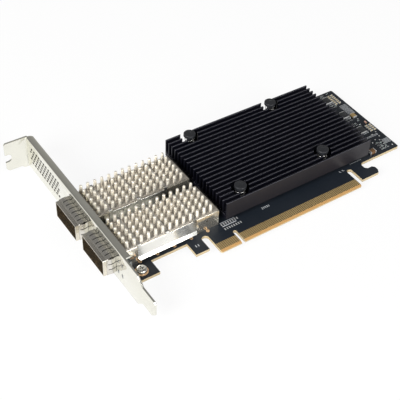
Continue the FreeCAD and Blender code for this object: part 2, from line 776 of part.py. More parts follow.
def makeClip(index):
    body = newBody(f"heatsink_clip_{index + 1}")
    inside = "(cageWidth / 2 + clipGap)"
    outside = "(cageWidth / 2 + clipGap + clipSheet)"
    under = "(cageHeight + sinkRide + sinkBase + clipGap)"
    over = "(cageHeight + sinkRide + sinkBase + clipGap + clipSheet)"
    flare = "(skirtBottom + skirtLip)"
    first = f"{pinStart} + strapSkip * {pinPitch} - strapWidth / 2"
    span = f"((strapCount - 1) * {strapPitch} + strapWidth)"
    strap = prism(body, f"strap{index}", "YZ_Plane", first, [
        (f"-{outside}", flare), (f"-{inside}", flare), (f"-{inside}", under), (inside, under),
        (inside, flare), (outside, flare), (outside, over), (f"-{outside}", over),
    ], "strapWidth")
    repeat(body, strap, "X_Axis", strapPitch, "strapCount")
    doc.recompute()
    # the side plates flare at 45 degrees into a lip along their lower edge
    skirts = newSketch(body, f"skirts{index}", "YZ_Plane", first)
    for sign in ("-", ""):
        addPolygon(skirts, [
            (f"{sign}{inside}", "cageHeight"), (f"{sign}{inside}", flare),
            (f"{sign}({inside} + skirtLip)", "skirtBottom"), (f"{sign}({outside} + skirtLip)", "skirtBottom"),
            (f"{sign}{outside}", flare), (f"{sign}{outside}", "cageHeight")])
    pad(body, skirts, span)
    corners = newSketch(body, f"lipCorners{index}", "XZ_Plane", f"-{outside} - skirtLip - 0.1")
    for end, sign in ((first, "+"), (f"{first} + {span}", "-")):
        addPolygon(corners, [
            (f"{end} {sign} skirtCorner", "skirtBottom - 0.1"), (f"{end} {sign} skirtCorner", "skirtBottom"),
            (f"{end} {sign} skirtCorner * (1 - cos(45))", "skirtBottom + skirtCorner * (1 - sin(45))"),
            (end, "skirtBottom + skirtCorner"), (f"{end} {sign} -0.1", "skirtBottom - 0.1")])
    pocket(body, corners, f"2 * ({outside} + skirtLip + 0.1)")
    place(body, along=f"portPlace + {index} * portPitch")
    return body


# ---------------------------------------------------------------- controller and its cooling
def makeCooler():
    body = newBody("main_heatsink")
    floor = "coolerBottom + coolerBase"
    prism(body, "coolerPlate", "XY_Plane", "coolerBottom",
          box2d(coolerLeft, "coolerLow", f"{coolerLeft} + coolerLength", "coolerLow + coolerDepth"),
          "coolerBase")
    fin = prism(body, "fin", "XY_Plane", floor,
                box2d(coolerLeft, "coolerLow", f"{coolerLeft} + coolerLength", "coolerLow + finThickness"),
                f"coolerTop - ({floor})")
    repeat(body, fin, "Y_Axis", "(coolerDepth - finThickness) / (finCount - 1)", "finCount")
    bays = newSketch(body, "pinBays", "XY_Plane", floor)
    holes = newSketch(body, "pinHoles", "XY_Plane", "coolerBottom")
    for across, along in pushPlaces():
        addPolygon(bays, evenPolygon(across, along, "pinBayRadius", 12))
        addPolygon(holes, evenPolygon(across, along, "pinHoleRadius", 12))
    pocket(body, bays, "coolerTop")
    pocket(body, holes, "coolerBase")
    return body


def makePushPins():
    body = newBody("push_pins")
    tip = "-boardThickness - barbGap"
    pieces = [
        prismOf(body, "pinBarb", f"{tip} - barbLength", evenPolygon("0", "0", "barbRadius", 8), "barbLength"),
        prismOf(body, "pinStem", tip, evenPolygon("0", "0", "stemRadius", 10),
                f"capTop - capHeight - ({tip})"),
        prismOf(body, "pinCap", "capTop - capHeight", evenPolygon("0", "0", "capRadius", 20), "capHeight"),
    ]
    pattern = body.newObject("PartDesign::LinearPattern", "pinRow")
    pattern.Originals = pieces
    pattern.Direction = (origin(body, "X_Axis"), [""])
    pattern.Direction2 = (origin(body, "Y_Axis"), [""])
    bind(pattern, "Length", "pushSpanX * 1 mm")
    bind(pattern, "Length2", "pushSpanY * 1 mm")
    pattern.Occurrences = 2
    pattern.Occurrences2 = 2
    body.Tip = pattern
    place(body, pushLeft, pushLow)
    return body


def coilCorner(step, radius, lift):
    # a corner of the coil's square wire after so many steps round its axis
    bend = 2 * math.pi * step / sizes["springSides"]
    low = sizes["coolerBottom"] + sizes["coolerBase"]
    rise = sizes["capTop"] - sizes["capHeight"] - low - sizes["springWire"]
    level = low + rise * step / (sizes["springSides"] * sizes["springTurns"]) + lift
    return FreeCAD.Vector(radius * math.cos(bend), radius * math.sin(bend), level)


def makeCoil():
    wire = sizes["springWire"]
    ring = [(sizes["springRadius"] - wire / 2, 0), (sizes["springRadius"] + wire / 2, 0),
            (sizes["springRadius"] + wire / 2, wire), (sizes["springRadius"] - wire / 2, wire)]
    steps = int(sizes["springSides"] * sizes["springTurns"])
    sections = [[coilCorner(step, radius, lift) for radius, lift in ring] for step in range(steps + 1)]
    faces = [Part.Face(Part.makePolygon(end + end[:1])) for end in (sections[0], sections[-1])]
    for here, there in zip(sections, sections[1:]):
        for corner in range(4):
            following = (corner + 1) % 4
            quad = (here[corner], here[following], there[following], there[corner])
            for triangle in ((quad[0], quad[1], quad[2]), (quad[0], quad[2], quad[3])):
                faces.append(Part.Face(Part.makePolygon([*triangle, triangle[0]])))
    coil = Part.makeSolid(Part.makeShell(faces))
    if coil.Volume < 0:
        coil.reverse()
    return coil


def makeSprings():
    # square wire coiled round each stem, between the heat sink's plate and the cap
    coil = makeCoil()
    coils = []
    for across in (0, sizes["pushSpanX"]):
        for along in (0, sizes["pushSpanY"]):
            copy = coil.copy()
            copy.translate(FreeCAD.Vector(across, along, 0))
            coils.append(copy)
    springs = doc.addObject("Part::Feature", "push_pin_springs")
    springs.Label = "push_pin_springs"
    springs.Shape = Part.makeCompound(coils)
    place(springs, pushLeft, pushLow)
    return springs


def makeChip():
    layers = (("controller_chip", "0", chipHalf, "chipBase"),
              ("chip_lid", "chipBase", lidHalf, "lidHeight"),
              ("thermal_pad", "chipBase + lidHeight", f"({lidHalf} - padInset)",
               "coolerBottom - chipBase - lidHeight"))
    for label, level, half, height in layers:
        body = newBody(label)
        prism(body, f"{label}Block", "XY_Plane", level, box2d(f"-{half}", f"-{half}", half, half), height)
        place(body, f"{pushLeft} + pushSpanX / 2", f"{pushLow} + pushSpanY / 2")


# ---------------------------------------------------------------- small parts soldered to the board
def onBoard(body, name, left, low, size, grid=None, below=False):
    # one block, or a grid of them, on the top face or under the board
    length, width, height = size
    level = f"-boardThickness - {height}" if below else "0"
    block = prism(body, name, "XY_Plane", level,
                  box2d(left, low, f"{left} + {length}", f"{low} + {width}"), height)
    if grid:
        acrossPitch, acrossCount, alongPitch, alongCount = grid
        repeat(body, block, "X_Axis", acrossPitch, acrossCount, "Y_Axis", alongPitch, alongCount)
    doc.recompute()


def makeSmallParts():
    capacitor = ("capacitorLength", "capacitorWidth", "capacitorHeight")
    resistor = ("resistorLength", "resistorWidth", "resistorHeight")
    regulator = ("regulatorLength", "regulatorWidth", "regulatorHeight")
    capacitors = newBody("tail_capacitors")
    for name, left, low, rows in (("upperBank", "capacitorPlace", "capacitorHigh", "capacitorRows"),
                                  ("lowerBank", "capacitorLowPlace", "capacitorLow", "capacitorRows - 2")):
        onBoard(capacitors, name, left, low, capacitor, ("capacitorPitchX", "2", "capacitorPitchY", rows))
    resistors = newBody("tail_resistors")
    for name, left, low, columns, rows in (("upperNet", "resistorPlace", "resistorHigh", "2", "2"),
                                           ("bridgeNet", "resistorPlace", "resistorBridge", "2", "2"),
                                           ("middleNet", "resistorPlace", "resistorMiddle", "2", "2"),
                                           ("innerNet", "resistorPlace", "resistorInner", "2", "2"),
                                           ("lowerNet", "resistorLowPlace", "resistorLow", "3", "4")):
        onBoard(resistors, name, left, low, resistor, ("resistorPitchX", columns, "resistorPitchY", rows))
    regulators = newBody("regulator_chips")
    onBoard(regulators, "regulator", "regulatorPlace", "regulatorLow", regulator,
            ("1", "1", "regulatorPitch", "regulatorCount"))
    inductors = newBody("power_inductors")
    onBoard(inductors, "inductor", "inductorPlace", "inductorLow",
            ("inductorSize", "inductorSize", "inductorHeight"), ("1", "1", "inductorPitch", "2"))
    oscillator = newBody("clock_oscillator")
    onBoard(oscillator, "oscillator", "oscillatorPlace", "oscillatorLow",
            ("oscillatorLength", "oscillatorWidth", "oscillatorHeight"))
    polymer = newBody("polymer_capacitor")
    onBoard(polymer, "polymer", "polymerPlace", "polymerLow",
            ("polymerLength", "polymerWidth", "polymerHeight"))
    lamp = newBody("board_led")
    onBoard(lamp, "boardLed", "ledPlace", "ledLow", ("ledLength", "ledWidth", "ledHeight"))
    header = newBody("header_pads")
    onBoard(header, "headerPad", "headerPlace", "headerLow", ("headerPadWidth", "headerPadLength", "plating"),
            ("headerPitch", "8", "headerRowPitch", "2"))
    decoupling = newBody("underside_capacitors")
    onBoard(decoupling, "decoupling", f"{pushLeft} + pushSpanX / 2 - 1.5 * decouplingPitch",
            f"{pushLow} + pushSpanY / 2 - 1.5 * decouplingPitch",
            resistor, ("decouplingPitch", "4", "decouplingPitch", "4"), below=True)
    flash = newBody("flash_chip")
    onBoard(flash, "flash", "flashPlace", "flashLow",
            ("flashLength", "flashWidth", "flashHeight"), below=True)


def makeLightPipe():
    # one clear moulding that carries four board lamps to the bracket's windows
    body = newBody("light_pipe")
    back = "bracketPlane + lampGap"
    prism(body, "pipeBlock", "XY_Plane", "0",
          box2d(back, f"{lampPlace} - lampGap", f"{back} + pipeDepth",
                f"{lampPlace} + lampPitch + lampWidth + lampGap"),
          "lampHeight + lampRow + lampLength + lampGap")
    prongs = newSketch(body, "pipeProngs", "YZ_Plane", "bracketPlane - sheet")
    for along in (lampPlace, f"{lampPlace} + lampPitch"):
        for up in ("lampHeight", "lampHeight + lampRow"):
            addPolygon(prongs, box2d(f"{along} + lampGap", f"{up} + lampGap",
                                     f"{along} + lampWidth - lampGap", f"{up} + lampLength - lampGap"))
    pad(body, prongs, "sheet + lampGap")


# ---------------------------------------------------------------- build
board = makeBoard()
drillBoard(board)
makeEdgeContacts()
makeLands()
makeBracket()
makeBracketScrews()
for port in range(2):
    makeCage(port)
    makeCollar(port)
    makePlug(port)
    makeSink(port)
    makeClip(port)
makeCooler()
makePushPins()
makeSprings()
makeChip()
makeSmallParts()
makeLightPipe()
doc.recompute()

# ---------------------------------------------------------------- checks and export
bodies = [item for item in doc.Objects if item.TypeId in ("PartDesign::Body", "Part::Feature")]
for item in doc.Objects:
    if "Invalid" in item.State or "Error" in item.State:
        raise ValueError(f"{item.Name} has the state {item.State}")
os.makedirs("parts", exist_ok=True)
for body in bodies:
    if body.Shape.isNull() or not body.Shape.isValid():
        raise ValueError(f"{body.Label} has no valid shape")
    body.Shape.exportStep(f"parts/{body.Label}.step")
    print(body.Label, len(body.Shape.Solids), round(body.Shape.Volume, 2))
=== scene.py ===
import json
import math

import bpy
from mathutils import Matrix, Vector

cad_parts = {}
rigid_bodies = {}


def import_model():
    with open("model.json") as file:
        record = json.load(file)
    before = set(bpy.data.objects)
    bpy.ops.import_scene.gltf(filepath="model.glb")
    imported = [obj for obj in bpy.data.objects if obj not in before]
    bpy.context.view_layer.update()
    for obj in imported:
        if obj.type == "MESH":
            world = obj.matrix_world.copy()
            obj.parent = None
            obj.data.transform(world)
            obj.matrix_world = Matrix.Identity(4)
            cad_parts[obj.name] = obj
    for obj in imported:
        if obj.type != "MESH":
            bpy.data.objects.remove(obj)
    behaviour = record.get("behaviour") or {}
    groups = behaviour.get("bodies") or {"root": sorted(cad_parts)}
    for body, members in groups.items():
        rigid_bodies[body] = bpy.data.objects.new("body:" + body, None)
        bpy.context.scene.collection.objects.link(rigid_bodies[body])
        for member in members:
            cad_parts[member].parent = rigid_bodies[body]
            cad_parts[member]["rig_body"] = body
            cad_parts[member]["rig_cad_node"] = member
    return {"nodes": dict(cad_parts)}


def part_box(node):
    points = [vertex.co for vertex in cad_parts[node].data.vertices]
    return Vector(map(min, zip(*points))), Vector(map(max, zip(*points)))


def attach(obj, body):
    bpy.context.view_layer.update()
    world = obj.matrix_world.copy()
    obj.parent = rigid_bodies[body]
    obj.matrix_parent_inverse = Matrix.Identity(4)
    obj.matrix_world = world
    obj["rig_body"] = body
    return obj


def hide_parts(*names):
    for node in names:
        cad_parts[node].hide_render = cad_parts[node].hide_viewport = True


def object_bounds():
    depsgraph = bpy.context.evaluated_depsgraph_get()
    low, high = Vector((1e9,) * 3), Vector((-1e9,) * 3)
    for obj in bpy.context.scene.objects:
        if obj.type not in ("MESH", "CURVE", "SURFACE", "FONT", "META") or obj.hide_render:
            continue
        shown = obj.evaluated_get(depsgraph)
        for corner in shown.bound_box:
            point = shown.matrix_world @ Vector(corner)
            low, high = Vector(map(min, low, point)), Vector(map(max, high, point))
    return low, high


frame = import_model()
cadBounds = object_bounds()
nodes = frame["nodes"]
mm = 0.001
near = 0.01 * mm  # two places closer than this are one
sunk = 0.05 * mm  # how deep one form stands in the next one of its piece
ports = ("1", "2")
print("frame loaded:", len(nodes), "nodes")


# selecting and finishing, as by hand
def clearSelection():
    if bpy.context.mode != "OBJECT":
        objectMode()
    bpy.ops.object.select_all(action="DESELECT")


def objectMode():
    bpy.ops.object.mode_set(mode="OBJECT")


def editMode():
    bpy.ops.object.mode_set(mode="EDIT")


def pick(*items):
    clearSelection()
    for item in items:
        item.select_set(True)
    bpy.context.view_layer.objects.active = items[0]


def settle(piece):
    pick(piece)
    bpy.ops.object.transform_apply(location=True, rotation=True, scale=True)


def block(low, high):
    clearSelection()
    low, high = Vector(low), Vector(high)
    bpy.ops.mesh.primitive_cube_add(size=1, location=(low + high) / 2)
    piece = bpy.context.object
    piece.scale = high - low
    settle(piece)
    return piece


def rod(centre, radius, low, high, sides=32):
    clearSelection()
    middle = (centre[0], centre[1], (low + high) / 2)
    bpy.ops.mesh.primitive_cylinder_add(vertices=sides, radius=radius, depth=high - low, location=middle)
    piece = bpy.context.object
    settle(piece)
    return piece


def unmark(piece, kind):
    # nothing selected on the mesh, which then takes faces, edges or points
    pick(piece)
    editMode()
    bpy.ops.mesh.select_mode(type=kind)
    bpy.ops.mesh.select_all(action="DESELECT")
    objectMode()


def editWhole(piece):
    pick(piece)
    editMode()
    bpy.ops.mesh.select_all(action="SELECT")


def editFaces(piece, test):
    # stays in edit mode, with the faces that pass the test selected
    unmark(piece, "FACE")
    for face in piece.data.polygons:
        face.select = test(face.center, face.normal)
    editMode()


def facesUp(centre, normal):
    return normal.z > 0.9


def facesDown(centre, normal):
    return normal.z < -0.9


def editPoints(piece, test):
    unmark(piece, "VERT")
    for point in piece.data.vertices:
        point.select = test(point.co)
    editMode()


def modify(piece, kind, **settings):
    modifier = piece.modifiers.new("step", kind)
    for name, value in settings.items():
        setattr(modifier, name, value)
    pick(piece)
    bpy.ops.object.modifier_apply(modifier=modifier.name)


def bevel(piece, width, segments=2, angle=35):
    modify(piece, "BEVEL", width=width, segments=segments, limit_method="ANGLE",
           angle_limit=math.radians(angle))


def smooth(piece, angle=40):
    pick(piece)
    bpy.ops.object.shade_smooth_by_angle(angle=math.radians(angle))


def row(piece, count, step):
    modify(piece, "ARRAY", count=count, use_relative_offset=False, use_constant_offset=True,
           constant_offset_displace=step)


def join(pieces, name):
    pick(*pieces)
    if len(pieces) > 1:
        bpy.ops.object.join()
    pieces[0].name = name
    pieces[0].data.name = name
    return pieces[0]


def copies(piece, offsets):
    # one copy at each offset, the first one being the piece itself
    made = []
    for offset in offsets[1:]:
        pick(piece)
        bpy.ops.object.duplicate()
        copy = bpy.context.object
        copy.location = Vector(offset)
        made.append(copy)
    piece.location = Vector(offsets[0])
    made.append(piece)
    for item in made:
        settle(item)
    return made


def turned(piece, degrees, axis, centre):
    pick(piece)
    bpy.ops.object.duplicate()
    copy = bpy.context.object
    spin = Matrix.Rotation(math.radians(degrees), 4, axis)
    copy.matrix_world = Matrix.Translation(centre) @ spin @ Matrix.Translation(-Vector(centre))
    settle(copy)
    return copy


def outward(piece):
    editWhole(piece)
    bpy.ops.mesh.remove_doubles(threshold=0.000001)
    bpy.ops.mesh.normals_make_consistent(inside=False)
    objectMode()


def nodeCopy(node, name):
    # a merged copy of a node, free of its frame marks
    pick(nodes[node])
    bpy.ops.object.duplicate()
    copy = bpy.context.object
    copy.parent = None
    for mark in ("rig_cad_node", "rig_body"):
        if mark in copy:
            del copy[mark]
    copy.name = name
    copy.data.name = name
    copy.data.materials.clear()
    pick(copy)
    bpy.ops.mesh.customdata_custom_splitnormals_clear()
    editWhole(copy)
    bpy.ops.mesh.remove_doubles(threshold=0.000002)
    bpy.ops.mesh.dissolve_limited(angle_limit=math.radians(1))
    objectMode()
    return copy


def softened(node, name, width, segments=2):
    copy = nodeCopy(node, name)
    bevel(copy, width, segments)
    smooth(copy, 30)
    return copy


def solidBoxes(node):
    # low and high corner of each separate solid of a node
    editWhole(nodeCopy(node, "loose"))
    bpy.ops.mesh.separate(type="LOOSE")
    objectMode()
    parts = list(bpy.context.selected_objects)
    boxes = []
    for part in parts:
        corners = [point.co.copy() for point in part.data.vertices]
        low = Vector([min(corner[axis] for corner in corners) for axis in range(3)])
        high = Vector([max(corner[axis] for corner in corners) for axis in range(3)])
        boxes.append((low, high))
    for part in parts:
        bpy.data.objects.remove(part)
    return sorted(boxes, key=lambda pair: (round(pair[0].x, 5), round(pair[0].y, 5)))


def place(piece, finish, slot, *replaced):
    # finished piece: material, body and the node it stands for
    if finish:
        piece.data.materials.clear()
        piece.data.materials.append(finish)
    settle(piece)
    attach(piece, "root")
    if replaced:
        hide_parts(*replaced)
    return piece


# materials
class Signal:
    # a socket of a material; sums on it add Math nodes
    def __init__(self, finish, socket):
        self.finish = finish
        self.socket = socket

    def math(self, operation, first, second):
        return self.finish.node("ShaderNodeMath", {"operation": operation}, {0: first, 1: second})

    def __add__(self, other):
        return self.math("ADD", self, other)

    def __sub__(self, other):
        return self.math("SUBTRACT", self, other)

    def __mul__(self, other):
        return self.math("MULTIPLY", self, other)

    def __gt__(self, other):
        return self.math("GREATER_THAN", self, other)

    def __lt__(self, other):
        return self.math("LESS_THAN", self, other)

    def __abs__(self):
        return self.math("ABSOLUTE", self, 0)


class Wiring:
    # node() adds any node, its settings first and then the values or links of its sockets
    def __init__(self, tree):
        self.tree = tree
        self.tree.nodes.clear()

    def put(self, socket, value):
        if isinstance(value, Signal):
            self.tree.links.new(value.socket, socket)
        elif isinstance(value, tuple) and len(value) == 3 and socket.type == "RGBA":
            socket.default_value = (*value, 1)
        else:
            socket.default_value = value

    def node(self, kind, settings, inputs, output=0):
        made = self.tree.nodes.new(kind)
        for name, value in settings.items():
            if name == "stops":
                ramp = made.color_ramp.elements
                for index, (position, color) in enumerate(value):
                    stop = ramp[index] if index < len(ramp) else ramp.new(position)
                    stop.position = position
                    stop.color = (*color, 1)
            else:
                setattr(made, name, value)
        for name, value in inputs.items():
            self.put(made.inputs[name], value)
        return Signal(self, made.outputs[output]) if made.outputs else None

    def outputs(self, signal, *names):
        # other outputs of the node that a signal comes from
        return [Signal(self, signal.socket.node.outputs[name]) for name in names]


class Finish(Wiring):
    # one material with a Principled shader
    def __init__(self, name):
        self.material = bpy.data.materials.new(name)
        self.material.use_nodes = True
        super().__init__(self.material.node_tree)
        self.shader = self.tree.nodes.new("ShaderNodeBsdfPrincipled")
        output = self.tree.nodes.new("ShaderNodeOutputMaterial")
        self.tree.links.new(self.shader.outputs[0], output.inputs["Surface"])
        self.coordinates = self.node("ShaderNodeTexCoord", {}, {}, "Object")

    def set(self, **values):
        names = {"color": "Base Color", "metallic": "Metallic", "roughness": "Roughness", "normal": "Normal",
                 "ior": "IOR", "transmission": "Transmission Weight", "specular": "Specular IOR Level"}
        for name, value in values.items():
            self.put(self.shader.inputs[names[name]], value)
        return self.material

    def noise(self, scale, detail=3, stretch=(1, 1, 1)):
        # 0 to 1, finer with a higher scale; stretch below 1 draws it out along that axis
        vector = self.node("ShaderNodeMapping", {}, {"Vector": self.coordinates, "Scale": stretch})
        inputs = {"Vector": vector, "Scale": scale, "Detail": detail}
        return self.node("ShaderNodeTexNoise", {}, inputs, "Fac")

    def spread(self, signal, low, high):
        # noise between 0.3 and 0.7 taken to the range low to high
        return self.node("ShaderNodeMapRange", {}, {"Value": signal, "From Min": 0.3, "From Max": 0.7,
                                                    "To Min": low, "To Max": high})

    def climb(self, signal, start, end):
        # 0 before the start, 1 past the end, eased between them
        return self.node("ShaderNodeMapRange", {"interpolation_type": "SMOOTHSTEP"},
                         {"Value": signal, "From Min": start, "From Max": end, "To Min": 0.0, "To Max": 1.0})

    def blend(self, factor, first, second):
        return self.node("ShaderNodeMix", {"data_type": "RGBA"}, {"Factor": factor, 6: first, 7: second}, 2)

    def tint(self, noise, color, shade):
        return self.blend(self.spread(noise, 0, 1), color, shade)

    def bump(self, height, distance, strength=0.5):
        inputs = {"Height": height, "Distance": distance, "Strength": strength}
        return self.node("ShaderNodeBump", {}, inputs)

    def axes(self):
        return self.outputs(self.node("ShaderNodeSeparateXYZ", {}, {"Vector": self.coordinates}), 0, 1, 2)

    def facing(self):
        # which way a flat face points, whatever the smoothing
        normal = self.node("ShaderNodeNewGeometry", {}, {}, "True Normal")
        return self.outputs(self.node("ShaderNodeSeparateXYZ", {}, {"Vector": normal}), 0, 1, 2)


def metalFinish(name, values):
    # plated or drawn metal: cloudy tint, handling marks in the gloss and a fine drawn grain
    finish = Finish(name)
    clouds = finish.noise(values["cloudScale"], 4)
    grain = finish.noise(values["grainScale"], 2, values["grainStretch"])
    color = finish.tint(clouds, values["color"], values["shade"])
    gloss, wear = values["roughness"], values["wear"]
    roughness = finish.spread(clouds, gloss - wear, gloss + wear)
    normal = finish.bump(grain, values["grainDepth"], 0.4)
    return finish.set(color=color, metallic=values["metallic"], roughness=roughness + grain * 0.06,
                      normal=normal)


def plasticFinish(name, values):
    finish = Finish(name)
    mottle = finish.noise(values["grainScale"], 3)
    color = finish.tint(mottle, values["color"], values["shade"])
    roughness = finish.spread(mottle, values["roughness"] - 0.05, values["roughness"] + 0.05)
    normal = finish.bump(mottle, values["grainDepth"], 0.4)
    return finish.set(color=color, roughness=roughness, normal=normal)


metals = {
    "collarSheet": {"color": (0.80, 0.77, 0.71), "shade": (0.68, 0.655, 0.60), "metallic": 0.96,
                    "cloudScale": 220, "wear": 0.03, "roughness": 0.14, "grainScale": 1500,
                    "grainStretch": (1, 1, 1), "grainDepth": 0.000008},
    "screwSteel": {"color": (0.78, 0.77, 0.73), "shade": (0.66, 0.65, 0.62), "metallic": 1.0,
                   "cloudScale": 160, "wear": 0.06, "roughness": 0.22, "grainScale": 1200,
                   "grainStretch": (0.08, 1, 1), "grainDepth": 0.000008},
    "fingerGold": {"color": (0.58, 0.41, 0.18), "shade": (0.47, 0.335, 0.15), "metallic": 0.5,
                   "cloudScale": 90, "wear": 0.05, "roughness": 0.38, "grainScale": 1600,
                   "grainStretch": (1, 0.1, 1), "grainDepth": 0.000006},
    "landCopper": {"color": (0.88, 0.58, 0.32), "shade": (0.74, 0.48, 0.28), "metallic": 0.5,
                   "cloudScale": 300, "wear": 0.06, "roughness": 0.34, "grainScale": 1600,
                   "grainStretch": (1, 1, 1), "grainDepth": 0.000008},
    "springSteel": {"color": (0.82, 0.81, 0.78), "shade": (0.62, 0.61, 0.60), "metallic": 1.0,
                    "cloudScale": 500, "wear": 0.05, "roughness": 0.18, "grainScale": 2500,
                    "grainStretch": (1, 1, 1), "grainDepth": 0.000008},
    "solderTin": {"color": (0.80, 0.81, 0.80), "shade": (0.64, 0.65, 0.65), "metallic": 0.55,
                  "cloudScale": 700, "wear": 0.08, "roughness": 0.32, "grainScale": 2500,
                  "grainStretch": (1, 1, 1), "grainDepth": 0.00001},
    "lidNickel": {"color": (0.66, 0.66, 0.66), "shade": (0.56, 0.56, 0.57), "metallic": 1.0,
                  "cloudScale": 120, "wear": 0.06, "roughness": 0.36, "grainScale": 1500,
                  "grainStretch": (1, 0.1, 1), "grainDepth": 0.000008},
}
plastics = {
    "packageBlack": {"color": (0.022, 0.024, 0.027), "shade": (0.035, 0.037, 0.04), "roughness": 0.52,
                     "grainScale": 2400, "grainDepth": 0.00002},
    "connectorBlack": {"color": (0.014, 0.014, 0.014), "shade": (0.024, 0.024, 0.024), "roughness": 0.45,
                       "grainScale": 1800, "grainDepth": 0.00002},
    "nylonBlack": {"color": (0.010, 0.011, 0.014), "shade": (0.017, 0.018, 0.021), "roughness": 0.46,
                   "grainScale": 1500, "grainDepth": 0.00002},
    "ceramicTan": {"color": (0.52, 0.43, 0.27), "shade": (0.66, 0.57, 0.38), "roughness": 0.45,
                   "grainScale": 1800, "grainDepth": 0.00001},
    "resistorBlack": {"color": (0.03, 0.035, 0.045), "shade": (0.06, 0.065, 0.075), "roughness": 0.35,
                      "grainScale": 2400, "grainDepth": 0.00001},
    "ferriteGrey": {"color": (0.06, 0.062, 0.066), "shade": (0.10, 0.10, 0.105), "roughness": 0.62,
                    "grainScale": 2600, "grainDepth": 0.00003},
    "polymerBrown": {"color": (0.15, 0.075, 0.03), "shade": (0.21, 0.11, 0.045), "roughness": 0.45,
                     "grainScale": 1600, "grainDepth": 0.00001},
    "gapFiller": {"color": (0.42, 0.44, 0.47), "shade": (0.50, 0.52, 0.55), "roughness": 0.8,
                  "grainScale": 900, "grainDepth": 0.00003},
    "packageGreen": {"color": (0.03, 0.08, 0.045), "shade": (0.045, 0.10, 0.06), "roughness": 0.4,
                     "grainScale": 900, "grainDepth": 0.00001},
    "silkWhite": {"color": (0.58, 0.60, 0.62), "shade": (0.44, 0.46, 0.48), "roughness": 0.6,
                  "grainScale": 3000, "grainDepth": 0.000005},
    "chipTeal": {"color": (0.10, 0.20, 0.18), "shade": (0.16, 0.28, 0.25), "roughness": 0.4,
                 "grainScale": 2400, "grainDepth": 0.00001},
    "lampPink": {"color": (0.75, 0.42, 0.38), "shade": (0.85, 0.55, 0.5), "roughness": 0.3,
                 "grainScale": 2000, "grainDepth": 0.000005},
}
finishes = {name: metalFinish(name, values) for name, values in metals.items()}
finishes.update({name: plasticFinish(name, values) for name, values in plastics.items()})


# where each zone of painted shade or other special finish starts and ends on its piece, in mm from the
# piece's own edges
reach = {"coolerFront": 0.1, "cageSkin": 0.15, "pinFoot": 0.1, "pinPale": 2.0, "clipShadeStart": 9, "clipShadeEnd": 1,
         "ventStart": 35.3, "ventEnd": 4, "ventRim": 1.6}


def anodisedFinish():
    # black anodised extrusion: blue-black, die lines along the fins, a painted highlight on the bevels
    # between tops and sides, a greyer outer face
    finish = Finish("anodisedBlack")
    clouds = finish.noise(70, 3)
    lines = finish.noise(1800, 2, (0.02, 1, 1))
    depth = finish.tint(clouds, (0.003, 0.0035, 0.0075), (0.0055, 0.0055, 0.010))
    outer = finish.tint(clouds, (0.018, 0.016, 0.019), (0.014, 0.013, 0.016))
    front = finish.axes()[1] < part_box("main_heatsink")[0].y + reach["coolerFront"] * mm
    upward = finish.facing()[2]
    # painted highlight: the bevels between the fins' tops and sides are painted a lighter grey
    edge = (upward > 0.3) * (upward < 0.95)
    color = finish.blend(edge, finish.blend(front, depth, outer), (0.085, 0.085, 0.10))
    roughness = finish.spread(clouds, 0.36, 0.46)
    normal = finish.bump(lines, 0.00002, 0.5)
    return finish.set(color=color, roughness=roughness, normal=normal, specular=0.25)


def cageFinish():
    # nickel silver sheet, with painted shade inside the bays, beneath the collars and on the upward faces in
    # front of the collars
    finish = Finish("cageNickelSilver")
    clouds = finish.noise(130, 4)
    grain = finish.noise(900, 2, (0.08, 1, 1))
    sheet = finish.tint(clouds, (0.88, 0.83, 0.72), (0.76, 0.71, 0.60))
    firstLow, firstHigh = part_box("port_cage_1")
    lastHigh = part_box("port_cage_2")[1]
    collarLow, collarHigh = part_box("emi_collar_1")
    across, along, up = finish.axes()
    facingX, _, facingZ = finish.facing()
    middle, half = (firstLow.y + lastHigh.y) / 2, (firstHigh.y - firstLow.y) / 2
    skin = reach["cageSkin"] * mm
    fromPort = abs(abs(along - middle) - (lastHigh.y - firstHigh.y) / 2)
    inside = (fromPort < half - skin) * (up < firstHigh.z - skin)
    # painted shade: brown inside the bays, near-black on the sheet beneath the collars
    paintedBayShade = finish.tint(clouds, (0.50, 0.42, 0.31), (0.34, 0.285, 0.205))
    paintedShade = finish.blend(inside, (0.02, 0.018, 0.015), paintedBayShade)
    hidden = inside.math("MAXIMUM", inside, across > collarLow.x)
    # painted shade: the upward faces in front of the collar are painted darker
    paintedLipShade = (across < collarLow.x) * (facingZ > 0.7)
    sheet = finish.blend(paintedLipShade, sheet, (0.56, 0.535, 0.48))
    paintedShadeZone = (across < collarHigh.x) * (abs(facingX) < 0.5) * hidden
    roughness = finish.spread(clouds, 0.12, 0.24) + grain * 0.05
    return finish.set(color=finish.blend(paintedShadeZone, sheet, paintedShade), metallic=0.92, roughness=roughness,
                      normal=finish.bump(grain, 0.00001, 0.4))


# riding heat sinks: the finish takes the pins' height from the same values as the pins
pinFins = {"columns": 13, "rows": 6, "radius": 0.95, "tip": 0.66, "tipRound": 0.2, "sides": 12,
           "height": 4.0, "plate": 0.8, "plateRound": 0.12, "bossInset": 2, "frontInset": 2.2,
           "rearInset": 3.4, "sideInset": 0.95}


def pinFinFinish():
    # cast pins in pale metal, with painted shade on the plate between them and up the pins' feet
    finish = Finish("pinFinMetal")
    clouds = finish.noise(420, 4)
    grain = finish.noise(2500, 2, (1, 1, 0.15))
    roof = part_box("port_heatsink_1")[1].z - pinFins["height"] * mm
    # painted shade: dark on the plate and the pins' feet, rising to the pins' pale colour
    climb = finish.climb(finish.axes()[2], roof + reach["pinFoot"] * mm, roof + reach["pinPale"] * mm)
    pale = finish.tint(clouds, (0.99, 0.94, 0.84), (0.92, 0.87, 0.76))
    color = finish.blend(climb, (0.46, 0.425, 0.37), pale)
    roughness = finish.spread(clouds, 0.20, 0.30) + grain * 0.05
    normal = finish.bump(grain, 0.00002, 0.4)
    return finish.set(color=color, metallic=0.6, roughness=roughness, normal=normal)


